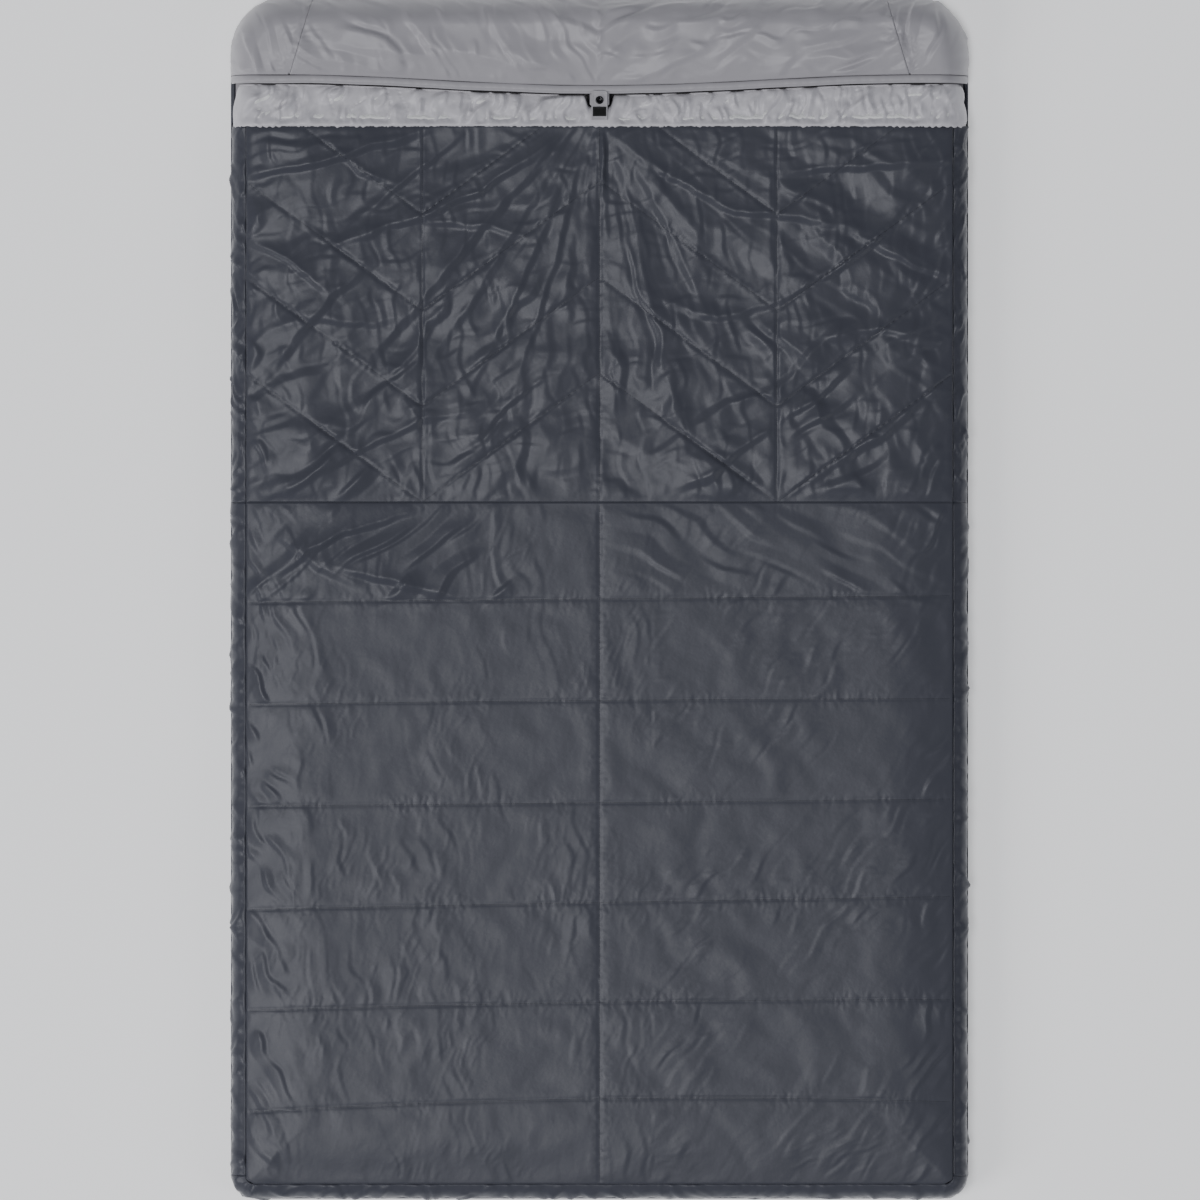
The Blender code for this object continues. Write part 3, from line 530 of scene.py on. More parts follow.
def plain_finish(name, colour, roughness, metallic=0.0, bump_scale=900.0, bump=0.0001, coat=0.0):
    """A moulded, lacquered or spun finish with a fine grain that breaks up its shine."""
    material, tree, shader = new_material(name)
    shader.inputs["Base Color"].default_value = srgb(colour)
    shader.inputs["Metallic"].default_value = metallic
    shader.inputs["Coat Weight"].default_value = coat
    place = add_node(tree, "TexCoord").outputs["Object"]
    grain = add_node(tree, "TexNoise", {"Vector": place, "Scale": bump_scale, "Detail": 3.0})
    rough = add_node(
        tree, "MapRange",
        {"Value": grain.outputs["Fac"], "To Min": roughness - 0.08, "To Max": roughness + 0.08},
    )
    tree.links.new(rough.outputs["Result"], shader.inputs["Roughness"])
    bent = add_node(
        tree, "Bump", {"Height": grain.outputs["Fac"], "Strength": 0.5, "Distance": bump}
    )
    tree.links.new(bent.outputs["Normal"], shader.inputs["Normal"])
    return material


# The covers' dark face, the hood's light one, and the collar's, which is paler and shinier
DARK = taffeta("slate_polyester_taffeta", "494A52", "43454D", roughness=0.32, specular=0.20)
LIGHT = taffeta("light_grey_polyester_taffeta", "ABA8AC", "A3A1A5", roughness=0.34, specular=0.30)
PALE = taffeta("pale_grey_polyester_taffeta", "D0CDD1", "C5C3C7", roughness=0.33, specular=0.34)
# Bonded polyester fibres: white, matt and woolly
WADDING = plain_finish("bonded_polyester_wadding", "E8E8E6", 0.95, bump_scale=260.0, bump=0.002)
# Rubber threads in a polyester knit: pale and matt with a fine grain
ELASTIC = plain_finish("knitted_elastic", "C9C9CC", 0.8, bump_scale=1200.0)
# Brass under black lacquer: a dark metal shine below a clear gloss
SNAP = plain_finish("black_lacquered_brass", "17171A", 0.32, metallic=1.0, coat=0.3)
# A brush of nylon hooks: nearly black, because it traps the light
HOOK = plain_finish("nylon_hook_tape", "0C0D0E", 0.75, bump_scale=700.0, bump=0.0008)
# Woven polyester tape: dark and dull
TAPE = plain_finish("woven_zip_tape", "2F3138", 0.7, bump_scale=1500.0)
# Die-cast zinc with a black finish: a satin metal shine
ZINC = plain_finish("black_painted_zinc", "1B1B1E", 0.38, metallic=1.0)
# Moulded plastic: dark, half matt
PULL = plain_finish("moulded_black_plastic", "1E1E20", 0.5)
# Drawn nylon wire: smooth, so each turn catches a thin line of light
COIL = plain_finish("nylon_coil", "26282E", 0.42)
# Spun polyester thread: soft and dull beside the shiny cloth
DARK_THREAD = plain_finish("dark_sewing_thread", "2B2D34", 0.6)
LIGHT_THREAD = plain_finish("light_sewing_thread", "B4B2B6", 0.6)
SLOT_FINISH = {
    "dark_taffeta": DARK, "light_taffeta": LIGHT, "wadding": WADDING, "elastic": ELASTIC,
    "snap_metal": SNAP, "hook_tape": HOOK, "zip_tape": TAPE, "zip_metal": ZINC,
    "pull_plastic": PULL,
}
for subpart in frame["record"]["subparts"]:
    node_materials = frame["nodes"][subpart["node"]].data.materials
    node_materials.clear()
    node_materials.append(SLOT_FINISH[subpart["material_slot"]])


def blended(obj, slot, *nodes):
    """A piece with its place put into its mesh, standing in for the frame's parts, which are hidden."""
    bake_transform(obj)
    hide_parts(*nodes)
    return obj


def riding(obj, body, slot, *nodes):
    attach(obj, body)
    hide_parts(*nodes)
    return obj


# The quilted covers

# Single folds of the upper cover: height, width, points from one end to the other
UPPER_FOLDS = (
    (0.009, 0.010, (-0.70, 0.780), (-0.56, 0.800), (-0.475, 0.822), (-0.40, 0.845), (-0.298, 0.872)),
    (0.007, 0.009, (-0.52, 0.640), (-0.40, 0.690), (-0.331, 0.706), (-0.223, 0.756), (-0.05, 0.870)),
    (0.006, 0.012, (-0.47, 0.400), (-0.372, 0.504), (-0.21, 0.70), (-0.064, 0.868)),
    (0.004, 0.010, (-0.34, 0.400), (-0.22, 0.580), (-0.05, 0.86)),
    (0.004, 0.009, (-0.25, 0.360), (-0.14, 0.600), (-0.035, 0.85)),
    (0.004, 0.008, (-0.16, 0.380), (-0.09, 0.610), (-0.025, 0.86)),
    (0.006, 0.008, (-0.655, 0.665), (-0.58, 0.630), (-0.50, 0.565)),
    (0.006, 0.007, (-0.49, 0.835), (-0.44, 0.790), (-0.38, 0.770)),
    (0.005, 0.008, (-0.45, 0.700), (-0.38, 0.760), (-0.33, 0.800), (-0.25, 0.868)),
    (0.005, 0.009, (-0.35, 0.700), (-0.28, 0.695), (-0.20, 0.690), (-0.13, 0.665)),
    (0.006, 0.012, (-0.62, 0.420), (-0.50, 0.560), (-0.40, 0.640)),
    (0.004, 0.010, (-0.54, 0.520), (-0.42, 0.510), (-0.36, 0.520)),
    (0.010, 0.006, (0.004, 0.740), (0.007, 0.800), (0.004, 0.866)),
    (0.006, 0.009, (0.020, 0.860), (0.12, 0.790), (0.253, 0.718), (0.327, 0.713), (0.505, 0.681)),
    (0.006, 0.010, (0.30, 0.790), (0.45, 0.800), (0.675, 0.812)),
    (0.007, 0.008, (0.36, 0.565), (0.44, 0.610), (0.508, 0.660), (0.56, 0.720)),
    (0.006, 0.009, (0.43, 0.690), (0.508, 0.660), (0.58, 0.620), (0.66, 0.595)),
    (0.006, 0.011, (0.34, 0.190), (0.45, 0.260), (0.527, 0.306), (0.655, 0.416)),
    (0.004, 0.010, (0.05, 0.840), (0.15, 0.640), (0.22, 0.480)),
    (0.004, 0.009, (0.03, 0.840), (0.08, 0.620), (0.12, 0.420)),
    (0.005, 0.010, (0.10, 0.560), (0.22, 0.520), (0.36, 0.560)),
    (0.005, 0.010, (0.40, 0.480), (0.52, 0.500), (0.64, 0.470)),
    (0.005, 0.009, (-0.596, 0.190), (-0.475, 0.260), (-0.335, 0.330), (-0.20, 0.350)),
)
LOWER_FOLDS = (
    (0.007, 0.009, (-0.62, 0.020), (-0.54, 0.090), (-0.475, 0.121), (-0.335, 0.165)),
    (0.006, 0.010, (-0.50, 0.060), (-0.40, 0.035), (-0.26, 0.000)),
    (0.004, 0.010, (-0.60, 0.120), (-0.52, 0.060), (-0.44, 0.020)),
)


def row_y(x, heights):
    """A stitched row's height, a shallow curve through its three heights."""
    left, middle, right = heights
    u = x / SEAM_X
    return middle + (right - left) / 2 * u + ((left + right) / 2 - middle) * u**2


def seam_distance(x, y):
    """How far a point of the covers is from the nearest stitch line, and from the main ones."""
    centre = np.abs(x)
    far = np.full(np.broadcast(x, y).shape, 9.0)
    for heights in ROWS:
        far = np.minimum(far, np.abs(y - row_y(x, heights)))
    far = np.minimum(far, np.abs(y - FOLD_Y))
    upper = y > FOLD_Y
    aside = np.abs(np.abs(x) - UPRIGHT_X)
    line = (y - FOLD_Y - CHEVRON_SLOPE * aside) / CHEVRON_STEP
    chevron = np.abs(line - np.maximum(np.round(line), 0)) * CHEVRON_STEP
    chevron = chevron / np.hypot(1, CHEVRON_SLOPE)
    fine = np.where(upper, np.minimum(aside, chevron), 9.0)
    return np.minimum(far, centre), fine


def cover_relief(x, y):
    """The covers' broad swells over their crown, before the cloth is let go."""
    main, fine = seam_distance(x, y)
    upper = smooth((y - FOLD_Y + 0.16) / 0.26)
    broad = facets(x, y, 0.095, 0.21, np.where(x < 0, 38, -24), 10)
    loft = 0.0006 * (1 - np.exp(-main / 0.008))
    ease = 1 - np.exp(-np.minimum(main, 3 * fine) / 0.008)
    return loft + ease * (0.08 + 0.92 * upper) * 0.0030 * broad


def cover_details(x, y):
    """Flat-sided folds, single folds, stitch lines pulled into the cloth and their puckers."""
    main, fine = seam_distance(x, y)
    upper = smooth((y - FOLD_Y + 0.01) / 0.05)
    ease = 1 - np.exp(-np.minimum(main, 3 * fine) / 0.005)
    right, left = smooth((x - 0.05) / 0.12), smooth((-x - 0.05) / 0.12)
    far = smooth((0.66 - y) / 0.25)
    height = upper * (0.072 * fan(x, y, 23, 11) + 0.030 * fan(x, y, 43, 14))
    row = smooth((y + 0.03) / 0.05) * (1 - upper)
    row_left, row_right = smooth((-x - 0.08) / 0.15), smooth((x + 0.02) / 0.15)
    patchy = smooth(0.45 + 1.4 * noise(x, y, 0.22, 127))
    quiet = (1 - upper) * (0.15 + 0.85 * patchy)
    side = smooth((np.abs(x) - 0.54) / 0.09)
    for where, rise, *pleat in (  # where, height, width, length, heading, seed
        (upper * right * far, 0.0042, 0.046, 0.20, 33, 111),
        (upper * left * far, 0.0036, 0.040, 0.18, 44, 114),
        (upper, 0.0012, 0.022, 0.07, 96, 118),
        (upper, 0.0012, 0.024, 0.07, 12, 119),
        (row * row_left, 0.0050, 0.034, 0.16, 42, 121),
        (row * row_right, 0.0024, 0.034, 0.16, 150, 124),
        (quiet, 0.0010, 0.026, 0.085, np.where(x < 0.1, 99, 52), 131),
        (quiet, 0.0005, 0.012, 0.040, np.where(x < 0.1, 70, 25), 134),
        (side, 0.0028, 0.026, 0.08, np.where(x < 0, 118, 62), 137),
    ):
        height += where * rise * pleats(x, y, *pleat)
    folds = UPPER_FOLDS if np.mean(y) > FOLD_Y else LOWER_FOLDS
    height = ease * height + 0.8 * fold_lines(x, y, folds) * np.clip(ease + 0.5, 0, 1)
    height += -0.0007 * np.exp(-((main / 0.0024) ** 2)) - 0.0004 * np.exp(-((fine / 0.0022) ** 2))
    # Puckers where the rows, the centre seam and the chevrons pull the cloth in
    near_row = np.exp(-main / 0.014) * (np.abs(x) > 0.012)
    some = smooth(0.5 + noise(x, y, 0.10, 28))
    height += 0.0009 * some * near_row * (creases(x, y, 0.009, 0.05, 96, 22) - 0.3)
    height += 0.0009 * np.exp(-np.abs(x) / 0.010) * (creases(x, y, 0.009, 0.03, 5, 23) - 0.4)
    height += 0.0006 * upper * np.exp(-fine / 0.01) * (creases(x, y, 0.008, 0.02, 45, 24) - 0.4)
    return height


def cover_points(first_y, last_y, cell):
    """A cover's grid in plan, cell apart: shares of its half width, then x and y."""
    columns = int(2 * SEAM_X / cell) + 1
    rows = int((last_y - first_y) / cell) + 1
    u, y = np.meshgrid(np.linspace(-1, 1, columns), np.linspace(first_y, last_y, rows))
    return u, u * cover_half_width(y), y


def cover_edge(u, y, first_y, last_y):
    """How far points of a cover are from its edges."""
    return np.minimum(np.minimum(y - first_y, last_y - y), (1 - np.abs(u)) * SEAM_X)


SIM_FRAMES = 14
STITCH_HOLD, OPEN_HOLD = 0.6, 0.05  # how firmly points are held on and off the stitch lines
FARTHEST_MOVE = 0.009


def add_cover(name, first_y, last_y, extra, nodes):
    """One quilted cover: shaped, let go to buckle between its stitch lines, then given its
    finest puckers."""
    u, x, y = cover_points(first_y, last_y, SIM_CELL)
    edge = cover_edge(u, y, first_y, last_y)
    rim = 1 - np.exp(-edge / 0.012)
    start = np.stack([x, y, cover_z(x, y) + cover_relief(x, y) * rim], -1)
    main, fine = seam_distance(x, y)
    near = 0.6 * SIM_CELL
    hold = np.where(np.minimum(main, fine) < near, STITCH_HOLD, OPEN_HOLD)
    hold[edge < near] = 1.0
    move = blurred(blurred(crumple(start, hold, extra) - start))
    distance = np.maximum(np.linalg.norm(move, axis=2, keepdims=True), 1e-9)
    settled = start + move * np.minimum(1, FARTHEST_MOVE / distance)
    u, x, y = cover_points(first_y, last_y, COVER_CELL)
    points = finer(settled, len(x))
    points = finer(points.swapaxes(0, 1), x.shape[1]).swapaxes(0, 1)
    edge = cover_edge(u, y, first_y, last_y)
    rim = 1 - np.exp(-edge / 0.006)
    points[..., 2] += cover_details(x, y) * rim
    bottom = LINING_HIGH.z + GAP
    thinnest = 0.004
    points[..., 2] = np.maximum(points[..., 2], bottom + thinnest)
    quilt = cloth_object(name, points, np.stack([x, y], -1), DARK, floor_z=bottom)
    blended(quilt, "dark_taffeta", *nodes)
    COVER_SHEETS[name] = points


COVER_SHEETS = {}
add_cover(
    "upper_quilt", FOLD_Y, COLLAR_SEAM, 0.0022,
    [f"upper_{part}_{side}" for part in ("shell", "wadding") for side in ("left", "right")],
)
add_cover(
    "lower_quilt", FOOT_SEAM_Y, FOLD_Y, 0.0005,
    [f"lower_{part}_{side}" for part in ("shell", "wadding") for side in ("left", "right")],
)


def add_lining(name, first_y, last_y, node):
    """The lining under a cover: softly puffed between the stitch lines, facing down."""
    u, x, y = cover_points(first_y, last_y, 0.008)
    main, fine = seam_distance(x, y)
    drawn_up = 0.0035 * np.exp(-np.minimum(main, fine) / 0.02)
    z = LINING_LOW.z - 0.004 + drawn_up + 0.001 * creases(x, y, 0.03, 0.1, 60, 31)
    edge = cover_edge(u, y, first_y, last_y)
    z = z + (LINING_LOW.z - z) * np.exp(-edge / 0.02)
    points = np.stack([-x, y, z], -1)
    lining = cloth_object(name, points, np.stack([-x, y], -1), LIGHT, FABRIC)
    blended(lining, "light_taffeta", node)


add_lining("upper_cover_lining", FOLD_Y, COLLAR_SEAM, "upper_lining")
add_lining("lower_cover_lining", FOOT_SEAM_Y, FOLD_Y, "lower_lining")


# Side and foot walls


def wall_section(share, turn):
    """Outwards and up for shares of the way down a wall that bulges round turn degrees. A lower
    wall goes round its bulge in the first half of the way."""
    rise = SEAM_TOP - WALL_MIDDLE
    lower = turn == LOWER_WALL_TURN
    angle = np.radians(turn) * np.clip(share * (2 if lower else 1), 0, 1)
    out = GAP + WALL_BULGE * np.sin(angle)
    z = WALL_MIDDLE + rise * np.cos(angle)
    if lower:
        down = np.clip(2 * share - 1, 0, 1)
        z = np.where(share > 0.5, WALL_MIDDLE + (FLOOR - WALL_MIDDLE) * down, z)
    return out, z


def wall_tucks(along, share, seed):
    """Gathers below the seam and slanting pulls down the wall."""
    down = share * 0.08
    gathers = creases(along, down, 0.011, 0.05, 84, seed) - 0.4
    pulls = pleats(along, down, 0.024, 0.07, 52, seed + 1)
    pulls = pulls + pleats(along, down, 0.030, 0.06, 118, seed + 2)
    fade = np.sin(pi * np.clip(share, 0, 1)) ** 0.4
    return fade * (0.0020 * gathers * np.exp(-share / 0.4) + 0.0048 * (pulls - 0.3))


WALL_CELL = 0.004
WALL_POINTS = 26  # down a wall


def add_side_wall(name, side, first_y, last_y, turn, node):
    rows = int((last_y - first_y) / WALL_CELL) + 1
    share, y = np.meshgrid(np.linspace(0, 1, WALL_POINTS), np.linspace(first_y, last_y, rows))
    if side < 0:
        share = share[:, ::-1]
    out, z = wall_section(share, turn)
    points = np.stack([side * (SEAM_X + out), y, z], -1)
    points = push_out(points, wall_tucks(y, share, 41 if side < 0 else 45))
    height = LOWER_WALL_CLOTH if turn == LOWER_WALL_TURN else UPPER_WALL_CLOTH
    flat = np.stack([side * (SEAM_X + share * height), y], -1)
    wall = cloth_object(name, points, flat, DARK, FABRIC)
    blended(wall, "dark_taffeta", node)


for side_name, side in SIDES:
    add_side_wall(
        f"upper_side_{side_name}", side, FOLD_Y, COLLAR_SEAM, UPPER_WALL_TURN,
        f"upper_wall_{side_name}",
    )
    add_side_wall(
        f"lower_side_{side_name}", side, FOOT_SEAM_Y + SEAM_CORNER, FOLD_Y, LOWER_WALL_TURN,
        f"lower_wall_{side_name}",
    )


def add_foot():
    """The foot's wall, round both rounded corners."""
    corner_x = SEAM_X - SEAM_CORNER
    corner_y = FOOT_SEAM_Y + SEAM_CORNER
    arc = (SEAM_CORNER + WALL_BULGE) * pi / 2
    length = 2 * arc + 2 * corner_x
    columns = int(length / WALL_CELL)
    along, share = np.meshgrid(np.linspace(0, length, columns), np.linspace(1, 0, WALL_POINTS))
    out, z = wall_section(share, LOWER_WALL_TURN)
    out = out + SEAM_CORNER
    first = np.clip(along / arc, 0, 1) * pi / 2
    last = np.clip((along - arc - 2 * corner_x) / arc, 0, 1) * pi / 2
    angle = pi + first + last
    centre = -corner_x + np.clip(along - arc, 0, 2 * corner_x)
    points = np.stack([centre + out * np.cos(angle), corner_y + out * np.sin(angle), z], -1)
    points = push_out(points, wall_tucks(along, share, 49))
    flat = np.stack([along, share * LOWER_WALL_CLOTH], -1)
    foot = cloth_object("foot_end", points, flat, DARK, FABRIC)
    riding(foot, "base", "dark_taffeta", "foot_wall")


add_foot()


# Hood


def hood_wrinkles(x, y, z):
    """Flat-sided folds that slant down to the mouth, pulls down the walls, gathers at the seams."""
    seam = HOOD_SEAM_HEAD + (HOOD_SEAM_MOUTH - HOOD_SEAM_HEAD) * (HALF_LENGTH - y) / 0.17
    near_seam = np.exp(-np.abs(np.abs(x) - seam) / 0.02)
    rim = smooth(edge_distance(x, y) / 0.03)
    corner = smooth((np.abs(x) - seam) / 0.02)
    lean = np.where(x < 0, -36, 32)
    slants = pleats(x, y, 0.046, 0.16, lean, 63)
    small = pleats(x, y, 0.020, 0.06, lean - 25, 66)
    drape = pleats(x, y, 0.026, 0.14, np.where(x < 0, 112, 68), 69)
    gathers = creases(x, y, 0.008, 0.04, 8, 65)
    round_edge = x + np.sign(x) * (HALF_LENGTH - y)
    wall = 1 - smooth(edge_distance(x, y) / 0.045)
    pulls = pleats(round_edge, z, 0.034, 0.10, np.where(x < 0, 68, 112), 76)
    short = creases(round_edge, z, 0.012, 0.05, 85, 77) * np.exp(-(z - FLOOR) / 0.03)
    return (
        wall * (0.0055 * pulls + 0.0016 * short) + 0.0020 * near_seam * gathers
        + (1 - corner) * rim * (0.0090 * slants + 0.0036 * small) + 0.0075 * corner * drape * rim
    )


# Single folds of the hood: height, width, points from one end to the other
HOOD_FOLDS = (
    (0.006, 0.010, (-0.30, 1.020), (-0.20, 1.000), (-0.10, 0.960)),
    (0.005, 0.008, (-0.17, 0.990), (-0.10, 0.985), (-0.04, 0.950)),
    (0.005, 0.009, (0.04, 0.950), (0.12, 0.985), (0.22, 1.030)),
    (0.006, 0.010, (-0.54, 1.000), (-0.44, 0.985), (-0.36, 0.975)),
    (0.006, 0.010, (-0.50, 1.030), (-0.40, 1.015), (-0.30, 1.000)),
    (0.006, 0.010, (0.36, 1.000), (0.46, 1.000), (0.56, 1.030)),
)


def hood_sheet(name, x, y):
    """A panel of the hood at these places in plan. It lies flat where it goes under the hem."""
    points = np.stack([x, y, hood_z(x, y)], -1)
    back = mouth_y(x) + HEM_WIDTH
    tame = smooth((y - back) / 0.012)
    height = hood_wrinkles(x, y, points[..., 2]) + fold_lines(x, y, HOOD_FOLDS)
    low = smooth((points[..., 2] - FLOOR) / 0.012)
    points = push_out(points, height * tame * low - 0.0006 * (1 - tame))
    return cloth_object(name, points, np.stack([x, y], -1), LIGHT, FABRIC)


def add_hood():
    """The centre panel, from the base up round the head's edge and over to the hem."""
    turn = DOME * (1 - np.cos(np.radians(np.linspace(0, 90, 34))))
    u = np.linspace(-1, 1, int(2 * HOOD_SEAM_MOUTH / COVER_CELL))[None]
    near = mouth_y(u * HOOD_SEAM_MOUTH) + HEM_WIDTH + GAP
    down = np.concatenate([turn, np.linspace(DOME, 1, 37)[1:]])[:, None]
    far = np.clip((down - DOME) / (1 - DOME), 0, 1)
    y = HALF_LENGTH - np.minimum(down, DOME) - (HALF_LENGTH - DOME - near) * far
    share = (HALF_LENGTH - y) / (HALF_LENGTH - (mouth_y(HOOD_SEAM_MOUTH) + HEM_WIDTH))
    x = u * (HOOD_SEAM_HEAD + (HOOD_SEAM_MOUTH - HOOD_SEAM_HEAD) * share - GAP / 2)
    y, x = y[::-1], x[::-1]
    centre = hood_sheet("hood_centre", x, y)
    riding(centre, "base", "light_taffeta", "hood_centre_panel")
    for side_name, side in SIDES:
        add_hood_corner(side_name, side)


def add_hood_corner(side_name, side):
    """A boxed corner, fanned from the end of its seam at the mouth to the quilt's edge."""
    straight = HALF_WIDTH - HEAD_RADIUS - HOOD_SEAM_HEAD - GAP
    arc = HEAD_RADIUS * pi / 2
    last = mouth_y(HALF_WIDTH) + HEM_WIDTH + GAP
    down = HALF_LENGTH - HEAD_RADIUS - last
    total = straight + arc + down
    place = np.linspace(0, total, 100)
    angle = pi / 2 * (1 - np.clip((place - straight) / arc, 0, 1))
    edge_x = np.where(
        place < straight, HOOD_SEAM_HEAD + GAP + place,
        HALF_WIDTH - HEAD_RADIUS + HEAD_RADIUS * np.cos(angle),
    )
    edge_y = HALF_LENGTH - HEAD_RADIUS + HEAD_RADIUS * np.sin(angle)
    edge_y = edge_y - np.clip(place - straight - arc, 0, down)
    round_share, last_share = 0.34, 0.985  # of the way in, for the rounded part and the end
    rounded = round_share * (1 - np.cos(np.linspace(0, pi / 2, 22)))
    inwards = np.concatenate([rounded, np.linspace(round_share, last_share, 34)[1:]])
    pole_x = HOOD_SEAM_MOUTH + GAP
    pole_y = mouth_y(HOOD_SEAM_MOUTH) + HEM_WIDTH + GAP
    s = inwards[:, None]
    x = side * (edge_x + (pole_x - edge_x) * s)
    y = edge_y + (pole_y - edge_y) * s
    if side > 0:
        x, y = x[:, ::-1], y[:, ::-1]
    corner = hood_sheet(f"hood_corner_panel_{side_name}", x, y)
    riding(corner, "base", "light_taffeta", f"hood_corner_{side_name}")


add_hood()


def add_hem():
    """The channel along the mouth, with its line of stitching and its elastic's small gathers."""
    x = HALF_WIDTH * np.sin(np.linspace(-pi / 2, pi / 2, 560))
    x, a = np.meshgrid(x, np.linspace(0, 2 * pi, 29))
    inside = np.clip((HALF_WIDTH - np.abs(x)) / DOME, 0, 1)
    rise = np.sqrt(1 - (1 - inside) ** 2)
    z = FLOOR + (MOUTH_TOP - FLOOR) * rise
    lean = (1 - inside) / DOME * np.sign(x)
    climb = (z - FLOOR) / (MOUTH_TOP - FLOOR) ** 2
    size = np.maximum(np.hypot(lean, climb), 1e-9)
    inward_x, inward_z = -lean / size, -climb / size
    gathers = 1 + 0.16 * noise(x, 0 * x, 0.012, 71) + 0.12 * noise(x, 0 * x, 0.035, 72)
    depth = HEM_THICKNESS / 2 * (1 - np.sin(a) * gathers)
    stitch = np.exp(-(((np.cos(a) + 0.75) / 0.16) ** 2)) * (np.sin(a) > 0)
    depth = depth + 0.0011 * stitch
    wave = 0.0012 * noise(x, 0 * x, 0.11, 73) * smooth((np.abs(x) - 0.04) / 0.04)
    y = mouth_y(x) + HEM_WIDTH / 2 * (1 + np.cos(a)) + wave
    points = np.stack([x + inward_x * depth, y, z + inward_z * depth], -1)
    flat = np.stack([x, y + HEM_WIDTH * (np.sin(a) < 0)], -1)
    hem = cloth_object("hood_mouth_hem", points[::-1], flat[::-1], LIGHT, HEM_FABRIC)
    riding(hem, "base", "light_taffeta", "hood_hem")


add_hem()


# Collar


def collar_line(count):
    """The collar's middle line: straight across, round a bend and down at each end. Its places
    along, x and z, and which way is outwards."""
    arc = COLLAR_BEND * pi / 2
    drop = COLLAR_MIDDLE - COLLAR_BEND - COLLAR_END
    half = COLLAR_STRAIGHT + arc + drop
    s = np.linspace(-half, half, count)
    along = np.abs(s)
    angle = np.clip((along - COLLAR_STRAIGHT) / arc, 0, 1) * pi / 2
    side = np.sign(s)
    x = np.minimum(along, COLLAR_STRAIGHT) + COLLAR_BEND * np.sin(angle)
    z = COLLAR_MIDDLE - COLLAR_BEND + COLLAR_BEND * np.cos(angle)
    z = z - np.clip(along - COLLAR_STRAIGHT - arc, 0, drop)
    return s, side * x, z, side * np.sin(angle), np.cos(angle)


def collar_folds(s, across):
    """Slanting flat-sided folds of the puffy collar, gathers at both seams."""
    lean = np.where(s < 0, 50, 66)
    big = pleats(s, across, 0.034, 0.07, lean, 81)
    mid = pleats(s, across, 0.016, 0.04, lean + 24, 84)
    upright = creases(s, across, 0.050, 0.30, 88, 86)
    tiny = creases(s, across, 0.008, 0.025, 85, 83)
    seam = np.exp(-across / 0.010)
    return (
        0.0170 * (big - 0.38) + 0.0080 * (mid - 0.3) - 0.0020 * (upright > 0.93)
        + 0.0026 * (0.2 + seam) * (tiny - 0.4)
    )


def add_collar():
    """The puffy tube with tufts along its seam, its filling and its elastic."""
    s, x, z, out_x, out_z = collar_line(520)
    around = np.radians(np.concatenate([np.linspace(0, 180, 44), np.linspace(180, 360, 14)[1:]]))
    s, a = np.meshgrid(s, around)
    x, z, out_x, out_z = (np.broadcast_to(part, s.shape) for part in (x, z, out_x, out_z))
    front, back = collar_front(x) + COLLAR_SWELL, COLLAR_SEAM + GAP
    half_depth = (front - back) / 2
    across = half_depth * (1 + np.cos(a))
    rise = COLLAR_THICKNESS / 2 * np.sin(a) + COLLAR_DROP * ((1 - np.cos(a)) / 2) ** 4
    by_tab = smooth((np.abs(x) - 0.018) / 0.02)
    top = np.clip(np.sin(a), 0, 1) ** 0.5
    folds = collar_folds(s, across) * (1 - 0.7 * np.abs(out_x))
    ramp = smooth(across / (0.017 + 0.009 * noise(s, 0 * s, 0.03, 90)))
    rise = rise + folds * top * by_tab * ramp - 0.0006 * top
    y = back + across
    tufts = np.abs(noise(s, 0 * s, 0.012, 84)) + 0.5 * np.abs(noise(s, 0 * s, 0.005, 88))
    y = y - np.exp(-across / 0.006) * 0.0045 * tufts * (np.sin(a) > -0.2)
    rise = rise - 0.003 * np.abs(out_x) * top
    points = np.stack([x + out_x * rise, y, z + out_z * rise], -1)
    flat = np.stack([s, across + 0.07 * (np.sin(a) < 0)], -1)
    collar = cloth_object("draught_collar", points[:, ::-1], flat[:, ::-1], PALE, FABRIC)
    riding(collar, "cover_upper", "light_taffeta", "collar_tube")
    middle = np.stack([x, (front + back) / 2 + 0 * a, z], -1)
    filling = middle + (points * (0.995, 1.0, 1.0) - middle) * FILLING_SHARE
    fill = cloth_object("collar_filling", filling[:, ::-1], flat[:, ::-1], WADDING)
    riding(fill, "cover_upper", "wadding", "collar_fill")
    elastic_cord(s[0], x[0], z[0])


def elastic_cord(s, x, z):
    """The round elastic in the collar's front edge, with its braid's small swellings."""
    turn = np.linspace(0, 2 * pi, 9)[:, None]
    radius = CORD_RADIUS * (1 + 0.06 * np.sin(s / 0.0012))
    y = collar_front(x) + COLLAR_SWELL - CORD_SETBACK
    points = np.stack(
        [x + 0 * turn, y + radius * np.cos(turn), z - 0.002 + radius * np.sin(turn)], -1
    )
    flat = np.stack(np.broadcast_arrays(s, 0.009 * turn / (2 * pi)), -1)
    cord = cloth_object("collar_elastic_cord", points, flat, ELASTIC)
    riding(cord, "cover_upper", "elastic", "collar_elastic")


add_collar()


# Base


def outline_half_width(y):
    """Half the quilt's width at y, with its rounded corners."""
    radius = np.where(y > 0, HEAD_RADIUS, FOOT_RADIUS)
    into = np.clip(np.abs(y) - (HALF_LENGTH - radius), 0, radius)
    return HALF_WIDTH - radius + np.sqrt(np.maximum(radius**2 - into**2, 0))


